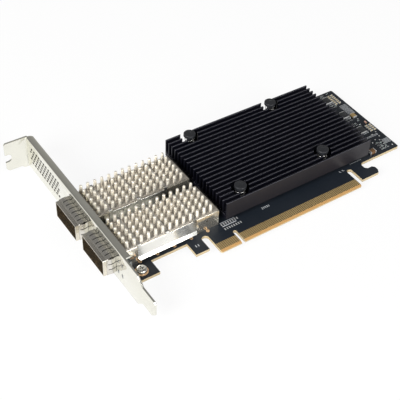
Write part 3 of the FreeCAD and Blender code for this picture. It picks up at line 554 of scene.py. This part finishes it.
def bracketFinish():
    # nickel-plated steel; the punch leaves duller walls in the vent, with painted shade, near-black, on
    # their lower side
    finish = Finish("bracketNickel")
    clouds = finish.noise(60, 4)
    grain = finish.noise(900, 2, (1, 0.06, 1))
    plate = finish.tint(clouds, (0.87, 0.86, 0.78), (0.80, 0.79, 0.71))
    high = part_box("bracket")[1]
    _, along, up = finish.axes()
    facingX, facingY, facingZ = finish.facing()
    zone = (along > high.y - reach["ventStart"] * mm) * (along < high.y - reach["ventEnd"] * mm)
    wall = zone * (up < high.z - reach["ventRim"] * mm) * (abs(facingX) < 0.6)
    # painted shade: the vent walls' lower side is painted near-black
    shaded = wall * (facingY < -0.7) * (facingZ > 0.1)
    color = finish.blend(shaded, plate, (0.05, 0.042, 0.036))
    roughness = finish.spread(clouds, 0.09, 0.15) + grain * 0.03 + wall * 0.5
    normal = finish.bump(grain, 0.000004, 0.3)
    return finish.set(color=color, metallic=0.95, roughness=roughness, normal=normal)


def clipFinish():
    # bright spring sheet, with painted shade on its upward faces, mostly the straps, and on its sides
    # towards its rear end
    finish = Finish("clipSteel")
    clouds = finish.noise(160, 4)
    grain = finish.noise(1200, 2, (0.08, 1, 1))
    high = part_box("heatsink_clip_1")[1]
    # painted shade: the sides darken towards the rear end
    rear = finish.climb(finish.axes()[0], high.x - reach["clipShadeStart"] * mm, high.x - reach["clipShadeEnd"] * mm)
    bright = finish.tint(clouds, (0.93, 0.92, 0.87), (0.85, 0.84, 0.79))
    _, facingY, facingZ = finish.facing()
    color = finish.blend(rear * (abs(facingY) > 0.5), bright, (0.30, 0.30, 0.28))
    # painted shade: upward faces, mostly the straps' tops, are painted greyer
    color = finish.blend(facingZ > 0.9, color, (0.46, 0.45, 0.44))
    roughness = finish.spread(clouds, 0.20, 0.30) + grain * 0.06
    normal = finish.bump(grain, 0.000008, 0.4)
    return finish.set(color=color, metallic=0.92, roughness=roughness, normal=normal)


def boardFinish():
    # black solder mask over copper traces; bare laminate on the cut edges, brighter on the contacts' bevel
    finish = Finish("boardLaminate")
    facingZ = finish.facing()[2]
    tone = finish.noise(45, 3)
    mask = finish.tint(tone, (0.010, 0.014, 0.020), (0.015, 0.019, 0.026))
    traces = finish.node("ShaderNodeTexBrick", {"offset": 0.37, "squash": 0.6},
                         {"Vector": finish.coordinates, "Scale": 330, "Mortar Size": 0.08,
                          "Color1": (1, 1, 1), "Color2": (0.9, 0.9, 0.9), "Mortar": (0, 0, 0)}, "Fac")
    weave = finish.noise(2200, 2, (1, 1, 6))
    laminate = finish.tint(weave, (0.60, 0.50, 0.32), (0.40, 0.31, 0.18))
    bevelColor = finish.tint(weave, (0.53, 0.31, 0.115), (0.43, 0.24, 0.085))
    cutEdge = abs(facingZ) < 0.97
    onBevel = (abs(facingZ) > 0.5) * cutEdge
    color = finish.blend(cutEdge, mask, finish.blend(onBevel, laminate, bevelColor))
    normal = finish.bump(traces, 0.00002, 0.35)
    return finish.set(color=color, roughness=finish.spread(tone, 0.30, 0.38) + cutEdge * 0.3, normal=normal,
                      specular=0.4)


def clearFinish():
    finish = Finish("lightPipeClear")
    haze = finish.spread(finish.noise(400, 2), 0.08, 0.16)
    return finish.set(color=(0.85, 0.9, 0.88), roughness=haze, transmission=0.9, ior=1.49)


for makeFinish in (anodisedFinish, cageFinish, pinFinFinish, bracketFinish, clipFinish, boardFinish,
                   clearFinish):
    material = makeFinish()
    finishes[material.name] = material
print("materials made:", len(finishes))

nodeFinishes = {
    "board": "boardLaminate", "edge_contacts": "fingerGold", "copper_lands": "landCopper",
    "port_connector_1": "connectorBlack", "port_connector_2": "connectorBlack",
    "thermal_pad": "gapFiller", "controller_chip": "packageGreen", "chip_lid": "lidNickel",
    "header_pads": "solderTin",
}
for node, finishName in nodeFinishes.items():
    nodes[node].data.materials.clear()
    nodes[node].data.materials.append(finishes[finishName])
print("carried nodes dressed:", len(nodeFinishes))


# sheet metal and extrusion with their broken edges
softEdges = {"bracket": 0.16, "cage": 0.05, "fold": 0.4, "clip": 0.07, "cooler": 0.14, "pipe": 0.08}


def roundFolds(cage, width):
    # the long folds between roof and sides
    corners = [Vector(corner) for corner in cage.bound_box]
    roof = max(corner.z for corner in corners)
    sides = (min(corner.y for corner in corners), max(corner.y for corner in corners))

    def onFold(co):
        return abs(co.z - roof) < near and min(abs(co.y - side) for side in sides) < near

    unmark(cage, "EDGE")
    points = cage.data.vertices
    for edge in cage.data.edges:
        first, last = (points[index].co for index in edge.vertices)
        edge.select = onFold(first) and onFold(last) and abs(first.x - last.x) > mm
    editMode()
    bpy.ops.mesh.bevel(offset=width, segments=3)
    objectMode()


bracket = softened("bracket", "bracketPlate", softEdges["bracket"] * mm)
place(bracket, finishes["bracketNickel"], "bracket", "bracket")
for port in ports:
    cage = nodeCopy(f"port_cage_{port}", f"cageShell{port}")
    roundFolds(cage, softEdges["fold"] * mm)
    bevel(cage, softEdges["cage"] * mm, 1)
    smooth(cage, 30)
    place(cage, finishes["cageNickelSilver"], f"port_cage_{port}", f"port_cage_{port}")
    clip = softened(f"heatsink_clip_{port}", f"clipSpring{port}", softEdges["clip"] * mm, 1)
    place(clip, finishes["clipSteel"], f"heatsink_clip_{port}", f"heatsink_clip_{port}")
cooler = softened("main_heatsink", "coolerFins", softEdges["cooler"] * mm, 1)
place(cooler, finishes["anodisedBlack"], "main_heatsink", "main_heatsink")
pipe = softened("light_pipe", "lampPipe", softEdges["pipe"] * mm)
place(pipe, finishes["lightPipeClear"], "light_pipe", "light_pipe")
print("sheet metal and fins done")


# riding heat sinks: plate with rows of cast pins
def makePinFins(port):
    values = pinFins
    low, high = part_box(f"port_heatsink_{port}")
    roof = high.z - values["height"] * mm
    floor = roof - values["plate"] * mm
    plate = block((low.x, low.y, floor), (high.x, high.y, roof))
    editFaces(plate, facesDown)
    bpy.ops.mesh.inset(thickness=values["bossInset"] * mm)
    bpy.ops.mesh.extrude_region_move(TRANSFORM_OT_translate={"value": (0, 0, low.z - floor)})
    objectMode()
    bevel(plate, values["plateRound"] * mm)
    start = low + Vector((values["frontInset"], values["sideInset"], 0)) * mm
    end = high - Vector((values["rearInset"], values["sideInset"], 0)) * mm
    pin = rod(start, values["radius"] * mm, roof - sunk, high.z, values["sides"])
    editFaces(pin, facesUp)
    shrink = values["tip"] / values["radius"]
    bpy.ops.transform.resize(value=(shrink, shrink, 1))
    bpy.ops.mesh.bevel(offset=values["tipRound"] * mm, segments=2)
    objectMode()
    row(pin, values["columns"], ((end.x - start.x) / (values["columns"] - 1), 0, 0))
    row(pin, values["rows"], (0, (end.y - start.y) / (values["rows"] - 1), 0))
    sink = join([plate, pin], f"pinFins{port}")
    smooth(sink, 50)
    place(sink, finishes["pinFinMetal"], f"port_heatsink_{port}", f"port_heatsink_{port}")


for port in ports:
    makePinFins(port)
print("riding heat sinks done")


# collars: sprung fingers between two bands round each cage
collar = {"fingers": 7, "sideFingers": 3, "slot": 0.46, "sheet": 0.15, "gap": 0.03, "band": 0.8,
          "bandEdge": 0.04, "rear": 0.2, "overlap": 0.2, "bulge": 0.42,
          "arch": [(0.0, 0.0), (0.09, 0.3), (0.2, 0.72), (0.36, 0.97), (0.52, 1.0), (0.66, 0.8),
                   (0.78, 0.35), (0.88, 0.04), (1.0, 0.0)]}  # shares of the finger's length and bulge


def makeFinger(startX, endX, width, level):
    # a strip along X with its arch drawn up station by station
    stations = collar["arch"]
    count = len(stations) - 1
    length = endX - startX
    clearSelection()
    bpy.ops.mesh.primitive_grid_add(x_subdivisions=count, y_subdivisions=2, size=1)
    finger = bpy.context.object
    finger.scale = (length, width, 1)
    finger.location = ((startX + endX) / 2, 0, level)
    settle(finger)

    def moveStation(index, alongX, alongZ):
        old = startX + length * index / count
        editPoints(finger, lambda co: abs(co.x - old) < near)
        bpy.ops.transform.translate(value=(alongX, 0, alongZ))
        objectMode()

    for index, (share, lift) in enumerate(stations):
        moveStation(index, 0, lift * collar["bulge"] * mm)
    # stations that go forward are moved last one first, so that none meets the next
    shifts = [share - index / count for index, (share, lift) in enumerate(stations)]
    forward = [index for index in reversed(range(count + 1)) if shifts[index] > 0]
    back = [index for index in range(count + 1) if shifts[index] < 0]
    for index in forward + back:
        moveStation(index, length * shifts[index], 0)
    modify(finger, "SOLIDIFY", thickness=collar["sheet"] * mm, offset=-1)
    smooth(finger, 45)
    return finger


def makeBand(startX, endX, low, high):
    band = block((startX, low.y, low.z), (endX, high.y, high.z))
    editFaces(band, lambda centre, normal: abs(normal.x) > 0.9)
    bpy.ops.mesh.delete(type="ONLY_FACE")
    objectMode()
    modify(band, "SOLIDIFY", thickness=collar["sheet"] * mm, offset=-1)
    bevel(band, collar["bandEdge"] * mm, 1)
    return band


def makeCollar(port):
    low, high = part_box(f"emi_collar_{port}")
    cageLow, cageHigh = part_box(f"port_cage_{port}")
    skin = (collar["sheet"] + collar["gap"]) * mm
    middleY = (low.y + high.y) / 2
    outerY = (cageHigh.y - cageLow.y) / 2 + skin
    outerZ = cageHigh.z + skin
    innerZ = -skin
    lowSide = Vector((0, middleY - outerY, innerZ))
    highSide = Vector((0, middleY + outerY, outerZ))
    bands = [makeBand(low.x, low.x + collar["band"] * mm, lowSide, highSide),
             makeBand(high.x - collar["rear"] * mm, high.x, lowSide, highSide)]
    startX = low.x + (collar["band"] - collar["overlap"]) * mm
    endX = high.x - sunk
    topStep = 2 * outerY / collar["fingers"]
    finger = makeFinger(startX, endX, topStep - collar["slot"] * mm, outerZ)
    finger.location = (0, middleY - outerY + topStep / 2, 0)
    settle(finger)
    row(finger, collar["fingers"], (0, topStep, 0))
    centre = Vector((0, middleY, (outerZ + innerZ) / 2))
    below = turned(finger, 180, "X", centre)
    sideStep = (outerZ - innerZ) / collar["sideFingers"]
    side = makeFinger(startX, endX, sideStep - collar["slot"] * mm, outerY)
    side.location = (0, (outerZ - innerZ) / 2 - sideStep / 2, 0)
    settle(side)
    row(side, collar["sideFingers"], (0, -sideStep, 0))
    flanks = [turned(side, degrees, "X", (0, 0, 0)) for degrees in (90, -90)]
    for flank in flanks:
        flank.location = centre
        settle(flank)
    bpy.data.objects.remove(side)
    whole = join([*bands, finger, below, *flanks], f"springCollar{port}")
    place(whole, finishes["collarSheet"], f"emi_collar_{port}", f"emi_collar_{port}")


for port in ports:
    makeCollar(port)
print("collars done")


# push pins with their coil springs
pushPin = {"cap": 3.0, "capHeight": 1.5, "capRound": 0.42, "dimple": 1.1, "dimpleDepth": 0.12,
           "stem": 1.45, "barb": 2.0, "barbHeight": 1.6, "barbTaper": 0.55, "split": 0.7,
           "splitHeight": 3.4, "tipEdge": 0.08, "wire": 0.26, "coil": 2.32, "turns": 3.5}


def makePushPin(low, high):
    centre = (low + high) / 2
    capLow = high.z - pushPin["capHeight"] * mm
    cap = rod(centre, pushPin["cap"] * mm, capLow, high.z, 48)
    editFaces(cap, facesUp)
    bpy.ops.mesh.bevel(offset=pushPin["capRound"] * mm, segments=4)
    objectMode()
    editFaces(cap, lambda co, normal: normal.z > 0.99 and co.z > high.z - near)
    bpy.ops.mesh.inset(thickness=(pushPin["cap"] - pushPin["capRound"] - pushPin["dimple"]) * mm)
    bpy.ops.mesh.inset(thickness=pushPin["dimpleDepth"] * mm)
    bpy.ops.transform.translate(value=(0, 0, -pushPin["dimpleDepth"] * mm))
    objectMode()
    barbTop = low.z + pushPin["barbHeight"] * mm
    stem = rod(centre, pushPin["stem"] * mm, barbTop, capLow + 2 * sunk)
    barb = rod(centre, pushPin["barb"] * mm, low.z, barbTop)
    editFaces(barb, facesDown)
    bpy.ops.transform.resize(value=(pushPin["barbTaper"], pushPin["barbTaper"], 1))
    objectMode()
    tip = join([barb, stem], "tip")
    halfSplit = pushPin["split"] / 2 * mm
    past = 2 * pushPin["barb"] * mm
    cutter = block((centre.x - halfSplit, centre.y - past, low.z - mm),
                   (centre.x + halfSplit, centre.y + past, low.z + pushPin["splitHeight"] * mm))
    modify(tip, "BOOLEAN", operation="DIFFERENCE", object=cutter, solver="EXACT", use_self=True)
    bpy.data.objects.remove(cutter)
    bevel(tip, pushPin["tipEdge"] * mm, 1, 50)
    pin = join([cap, tip], "pushPin")
    smooth(pin, 40)
    return pin


def makeSpring(centre, low, high):
    # round wire: a small ring carried up a screw line
    clearSelection()
    radius = pushPin["wire"] * mm
    bpy.ops.mesh.primitive_circle_add(vertices=8, radius=radius, fill_type="NGON",
                                      location=(pushPin["coil"] * mm, 0, 0), rotation=(math.pi / 2, 0, 0))
    coil = bpy.context.object
    settle(coil)
    rise = (high - low - 2 * radius) / pushPin["turns"]
    modify(coil, "SCREW", steps=28, render_steps=28, angle=2 * math.pi * pushPin["turns"],
           screw_offset=rise * pushPin["turns"], axis="Z", use_merge_vertices=True)
    outward(coil)
    coil.location = (centre.x, centre.y, low + radius)
    settle(coil)
    smooth(coil, 60)
    return coil


pinBoxes = solidBoxes("push_pins")
springBoxes = solidBoxes("push_pin_springs")
firstLow, firstHigh = pinBoxes[0]
pinShifts = [(low.x - firstLow.x, low.y - firstLow.y, 0) for low, high in pinBoxes]
pins = copies(makePushPin(firstLow, firstHigh), pinShifts)
place(join(pins, "pushPins"), finishes["nylonBlack"], "push_pins", "push_pins")
springLow = min(low.z for low, high in springBoxes)
springHigh = max(high.z for low, high in springBoxes)
coils = copies(makeSpring((firstLow + firstHigh) / 2, springLow, springHigh), pinShifts)
place(join(coils, "pushPinCoils"), finishes["springSteel"], "push_pin_springs", "push_pin_springs")
print("push pins done")


# bracket screws: pan heads with a cross recess
screw = {"head": 2.5, "headHeight": 1.9, "headRound": 0.85, "shank": 1.48, "shankEdge": 0.2, "arm": 0.62,
         "span": 2.7, "depth": 1.1, "armTaper": 0.7}


def makeScrew(low, high):
    centre = (low + high) / 2
    headLow = high.z - screw["headHeight"] * mm
    head = rod(centre, screw["head"] * mm, headLow, high.z, 48)
    editFaces(head, facesUp)
    bpy.ops.mesh.bevel(offset=screw["headRound"] * mm, segments=5)
    objectMode()
    for spanX, spanY in ((screw["span"], screw["arm"]), (screw["arm"], screw["span"])):
        arm = block((centre.x - spanX / 2 * mm, centre.y - spanY / 2 * mm, high.z - screw["depth"] * mm),
                    (centre.x + spanX / 2 * mm, centre.y + spanY / 2 * mm, high.z + mm))
        editFaces(arm, facesDown)
        bpy.ops.transform.resize(value=(screw["armTaper"], screw["armTaper"], 1))
        objectMode()
        modify(head, "BOOLEAN", operation="DIFFERENCE", object=arm, solver="EXACT")
        bpy.data.objects.remove(arm)
    shank = rod(centre, screw["shank"] * mm, low.z, headLow + sunk, 24)
    bevel(shank, screw["shankEdge"] * mm, 2)
    whole = join([head, shank], "screw")
    smooth(whole, 40)
    return whole


screwBoxes = solidBoxes("bracket_screws")
firstLow, firstHigh = screwBoxes[0]
screwShifts = [(low.x - firstLow.x, low.y - firstLow.y, 0) for low, high in screwBoxes]
screws = copies(makeScrew(firstLow, firstHigh), screwShifts)
place(join(screws, "panScrews"), finishes["screwSteel"], "bracket_screws", "bracket_screws")
print("screws done")


# chip parts soldered to the board
smallParts = {
    "tail_capacitors": {"body": "ceramicTan", "ends": "solderTin", "share": 0.24},
    "tail_resistors": {"body": "resistorBlack", "ends": "solderTin", "share": 0.24},
    "underside_capacitors": {"body": "ceramicTan", "ends": "solderTin", "share": 0.24},
    "polymer_capacitor": {"body": "polymerBrown", "ends": "solderTin", "share": 0.12},
    "board_led": {"body": "lampPink", "ends": "landCopper", "share": 0.2},
    "clock_oscillator": {"body": "fingerGold", "ends": "solderTin", "share": 0.08},
    "power_inductors": {"body": "ferriteGrey", "ends": "solderTin", "share": 0.1},
    "regulator_chips": {"body": "packageBlack", "ends": "solderTin", "share": 0.06},
    "flash_chip": {"body": "packageBlack", "ends": "solderTin", "share": 0.05},
}
chipEdges = {"skin": 0.06, "bodyRound": 0.1, "endRound": 0.12}  # shares of a part's least side


def makeChipPart(low, high, share, body, ends):
    # the case a hair inside its soldered ends, and flush with them where it sits on the board
    size = high - low
    axis = 0 if size.x >= size.y else 1
    skin = min(size) * chipEdges["skin"]
    onTop = low.z >= 0
    inner = block(low + Vector((skin, skin, 0 if onTop else skin)),
                  high - Vector((skin, skin, skin if onTop else 0)))
    bevel(inner, min(size) * chipEdges["bodyRound"], 2)
    inner.data.materials.append(body)
    parts = [inner]
    for atEnd in (False, True):
        first, last = low.copy(), high.copy()
        if atEnd:
            first[axis] = high[axis] - size[axis] * share
        else:
            last[axis] = low[axis] + size[axis] * share
        end = block(first, last)
        bevel(end, min(size) * chipEdges["endRound"], 2)
        end.data.materials.append(ends)
        parts.append(end)
    return join(parts, "chipPart")


def makeSmallParts(node, values):
    low, high = partBoxes[node][0]
    part = makeChipPart(low, high, values["share"], finishes[values["body"]], finishes[values["ends"]])
    whole = join(copies(part, [other - low for other, top in partBoxes[node]]), f"{node}Parts")
    smooth(whole, 40)
    place(whole, None, node, node)


partBoxes = {node: solidBoxes(node) for node in smallParts}  # kept, because a replaced node can't be copied
for node, values in smallParts.items():
    makeSmallParts(node, values)
print("small parts done")


# ink on the board: outlines, hatching and ticks, with no lettering
silk = {"line": 0.3, "gap": 0.45, "height": 0.02, "edge": 0.004, "hatchPitch": 0.75,
        "clockHatch": {"right": 1.2, "top": 9.6},
        "cornerHatch": {"left": 4.4, "right": 0.4, "low": 18.5, "high": 22.6},
        "upperHatch": {"left": -4.5, "right": 3.9, "low": -3.6, "high": -1.4},
        "header": {"bar": 0.45, "barShort": 1.6, "ruleGap": 0.3, "rule": 0.2, "ruleShort": 1.4},
        "sinkRule": {"left": 10.5, "right": 3.0, "up": 1.5, "width": 0.2},
        "footprint": {"place": 20.6, "width": 0.5, "height": 0.4, "pads": 5, "pitch": 0.95,
                      "rows": (-1.2, -0.5)},
        "tick": {"height": 1.1, "width": 0.35, "foot": 0.9, "up": 7.6, "places": (-3.2, -1.2)},
        "legTick": {"place": -16.6, "places": (0, 1.3), "low": 8.4, "high": 9.8}}


def inkStrip(startX, startY, endX, endY):
    return block((startX, startY, 0), (endX, endY, silk["height"] * mm))


def inkFrame(low, high, gap):
    # four lines round a part
    line = silk["line"] * mm
    low = low - Vector((gap, gap, 0))
    high = high + Vector((gap, gap, 0))
    return [inkStrip(low.x - line, low.y - line, high.x + line, low.y),
            inkStrip(low.x - line, high.y, high.x + line, high.y + line),
            inkStrip(low.x - line, low.y, low.x, high.y),
            inkStrip(high.x, low.y, high.x + line, high.y)]


def inkHatch(startX, startY, endX, endY):
    pitch = silk["hatchPitch"] * mm
    strip = inkStrip(startX, startY, endX, startY + silk["line"] * mm)
    row(strip, int((endY - startY) / pitch), (0, pitch, 0))
    return strip


def makeHatches():
    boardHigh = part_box("board")[1]
    clockLow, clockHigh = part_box("clock_oscillator")
    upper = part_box("tail_capacitors")[0]
    clock, corner, above = silk["clockHatch"], silk["cornerHatch"], silk["upperHatch"]
    return [inkHatch(clockLow.x, clockHigh.y + silk["gap"] * mm,
                     boardHigh.x - clock["right"] * mm, clockHigh.y + clock["top"] * mm),
            inkHatch(boardHigh.x - corner["left"] * mm, corner["low"] * mm,
                     boardHigh.x - corner["right"] * mm, corner["high"] * mm),
            inkHatch(upper.x + above["left"] * mm, upper.y + above["low"] * mm,
                     upper.x + above["right"] * mm, upper.y + above["high"] * mm)]


def makeHeaderInk():
    # a bar between the header's two rows of pads and a rule above them
    header = silk["header"]
    low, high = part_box("header_pads")
    middle = (low.y + high.y) / 2
    rule = high.y + header["ruleGap"] * mm
    return [inkStrip(low.x, middle, high.x - header["barShort"] * mm, middle + header["bar"] * mm),
            inkStrip(low.x, rule, high.x - header["ruleShort"] * mm, rule + header["rule"] * mm)]


def makeSinkInk():
    # a rule along the heat sink's outline and the two rows of an empty footprint
    rule, foot = silk["sinkRule"], silk["footprint"]
    low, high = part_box("main_heatsink")
    level = low.y + rule["up"] * mm
    strips = [inkStrip(high.x - rule["left"] * mm, level,
                       high.x - rule["right"] * mm, level + rule["width"] * mm)]
    startX = low.x + foot["place"] * mm
    for shift in foot["rows"]:
        startY = low.y + shift * mm
        pad = inkStrip(startX, startY, startX + foot["width"] * mm, startY + foot["height"] * mm)
        row(pad, foot["pads"], (foot["pitch"] * mm, 0, 0))
        strips.append(pad)
    return strips


def makeTicks():
    # beside the contacts and on the leg
    tick, leg = silk["tick"], silk["legTick"]
    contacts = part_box("edge_contacts")[1]
    width, startY = tick["width"] * mm, contacts.y + tick["up"] * mm
    strips = []
    for shift in tick["places"]:
        startX = contacts.x + shift * mm
        strips.append(inkStrip(startX, startY, startX + width, startY + tick["height"] * mm))
        strips.append(inkStrip(startX, startY, startX + tick["foot"] * mm, startY + width))
    for shift in leg["places"]:
        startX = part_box("port_cage_1")[1].x + (leg["place"] + shift) * mm
        strips.append(inkStrip(startX, leg["low"] * mm, startX + width, leg["high"] * mm))
    return strips


def makeSilk():
    strips = []
    for low, high in partBoxes["regulator_chips"]:
        strips += inkFrame(low, high, silk["gap"] * mm)
    strips += makeHatches() + makeHeaderInk() + makeSinkInk() + makeTicks()
    marks = join(strips, "silkMarks")
    bevel(marks, silk["edge"] * mm, 1)
    place(marks, finishes["silkWhite"], "board")


makeSilk()
print("silk marks done")


# parts finer than the soldered nodes, round the tail: tiny chips and test pads (x from the board's end, y)
tinyParts = {"size": (1.0, 0.5, 0.35), "endShare": 0.3, "pad": (0.7, 0.7, 0.05), "padEdge": 0.015,
             "chips": [(-9.4, 48.4), (-8.6, 46.9), (-9.6, 45.3), (-8.0, 43.8), (-5.2, 40.1), (-8.4, 38.7),
                       (-6.6, 37.0), (-8.9, 20.8), (-7.0, 19.9), (-5.6, 18.3), (-8.2, 17.6), (-6.4, 16.2),
                       (-9.0, 15.6), (-9.6, 57.2), (-7.4, 56.4), (-9.8, 66.0), (-4.9, 67.2)],
             "pads": [(-10.2, 58.6), (-6.7, 57.5), (-5.2, 44.0), (-4.1, 41.4), (-8.4, 34.8), (-3.0, 28.0),
                      (-6.2, 27.2), (-2.3, 15.6), (-3.6, 24.4), (-7.6, 23.2), (-5.6, 21.9), (-10.4, 22.0)]}


def makeTinyParts():
    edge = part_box("board")[1].x
    origin = Vector((0, 0, 0))
    chip = makeChipPart(origin, Vector(tinyParts["size"]) * mm, tinyParts["endShare"], finishes["chipTeal"],
                        finishes["solderTin"])
    pad = block(origin, Vector(tinyParts["pad"]) * mm)
    bevel(pad, tinyParts["padEdge"] * mm, 1)
    pad.data.materials.append(finishes["solderTin"])
    parts = []
    for part, places in ((chip, tinyParts["chips"]), (pad, tinyParts["pads"])):
        parts += copies(part, [(edge + x * mm, y * mm, 0) for x, y in places])
    whole = join(parts, "tinyParts")
    smooth(whole, 40)
    place(whole, None, "tail_resistors")


makeTinyParts()
print("tiny parts done")


# light and surroundings: a white floor, a sky that darkens upwards, two area lamps (place, size, power, aim)
studio = {"floorSize": 6, "floorGap": 0.2, "floorShine": 0.9, "floorColor": (0.9, 0.9, 0.9),
          "skyStrength": 1.0,
          "skyStops": [(0.45, (1.0, 1.0, 1.0)), (0.56, (0.76, 0.755, 0.74)), (0.68, (0.30, 0.295, 0.285)),
                       (1.0, (0.14, 0.14, 0.14))],
          "lamps": {"keyLamp": ((-0.9, -0.25, 0.6), 0.5, 14, (0, 0.03, 0)),
                    "frontLamp": ((0.15, -1.0, 0.55), 0.6, 9, (0.02, 0.03, 0))}}
view = {"azimuth": -39.603, "elevation": 43.546, "roll": 5.447, "place": (-181.13, -223.10, 299.89),
        "sensor": 36, "lens": 81.19, "shift": -0.1345, "near": 0.01, "far": 20}


def seenShare(wiring):
    # 1 where the camera, a reflection or a clear piece looks at it
    path = wiring.node("ShaderNodeLightPath", {}, {})
    camera, glossy, through = wiring.outputs(path, "Is Camera Ray", "Is Glossy Ray", "Is Transmission Ray")
    return camera.math("MAXIMUM", camera.math("MAXIMUM", camera, glossy), through)


def makeFloor():
    clearSelection()
    level = cadBounds[0].z - studio["floorGap"] * mm
    bpy.ops.mesh.primitive_plane_add(size=studio["floorSize"], location=(0, 0, level))
    floor = bpy.context.object
    floor.name = "floor"
    material = bpy.data.materials.new("floorWhite")
    material.use_nodes = True
    wiring = Wiring(material.node_tree)
    matte = wiring.node("ShaderNodeBsdfDiffuse", {}, {"Color": studio["floorColor"]})
    shine = wiring.node("ShaderNodeEmission", {}, {"Color": (1.0, 1.0, 1.0), "Strength": 1.0})
    share = seenShare(wiring) * studio["floorShine"]
    mixed = wiring.node("ShaderNodeMixShader", {}, {0: share, 1: matte, 2: shine})
    wiring.node("ShaderNodeOutputMaterial", {}, {"Surface": mixed})
    floor.data.materials.append(material)


def makeSky():
    world = bpy.data.worlds.new("studioSky")
    bpy.context.scene.world = world
    world.use_nodes = True
    wiring = Wiring(world.node_tree)
    direction = wiring.node("ShaderNodeTexCoord", {}, {}, "Generated")
    height = wiring.outputs(wiring.node("ShaderNodeSeparateXYZ", {}, {"Vector": direction}), 2)[0]
    shade = wiring.node("ShaderNodeValToRGB", {"stops": studio["skyStops"]}, {"Fac": height * 0.5 + 0.5})
    sky = wiring.node("ShaderNodeBackground", {}, {"Color": shade, "Strength": studio["skyStrength"]})
    wiring.node("ShaderNodeOutputWorld", {}, {"Surface": sky})


def makeLamp(name, location, size, power, aim):
    clearSelection()
    bpy.ops.object.light_add(type="AREA", location=location)
    lamp = bpy.context.object
    lamp.name = name
    lamp.data.size = size
    lamp.data.energy = power
    lamp.rotation_mode = "QUATERNION"
    lamp.rotation_quaternion = (Vector(aim) - Vector(location)).to_track_quat("-Z", "Y")


def makeCamera():
    turn, lift, roll = (math.radians(view[name]) for name in ("azimuth", "elevation", "roll"))
    back = Vector((math.sin(turn) * math.cos(lift), -math.cos(turn) * math.cos(lift), math.sin(lift)))
    right = Vector((0, 0, 1)).cross(back).normalized()
    up = back.cross(right)
    leanRight = right * math.cos(roll) + up * math.sin(roll)
    leanUp = up * math.cos(roll) - right * math.sin(roll)
    clearSelection()
    bpy.ops.object.camera_add()
    camera = bpy.context.object
    camera.matrix_world = Matrix.Translation(Vector(view["place"]) * mm) @ Matrix(
        (leanRight, leanUp, back)).transposed().to_4x4()
    camera.data.sensor_width = view["sensor"]
    camera.data.lens = view["lens"]
    camera.data.shift_x = view["shift"]
    camera.data.clip_start = view["near"]
    camera.data.clip_end = view["far"]
    bpy.context.scene.camera = camera


makeFloor()
makeSky()
for name, values in studio["lamps"].items():
    makeLamp(name, *values)
makeCamera()
bpy.context.scene.view_settings.view_transform = "Standard"
print("studio done")
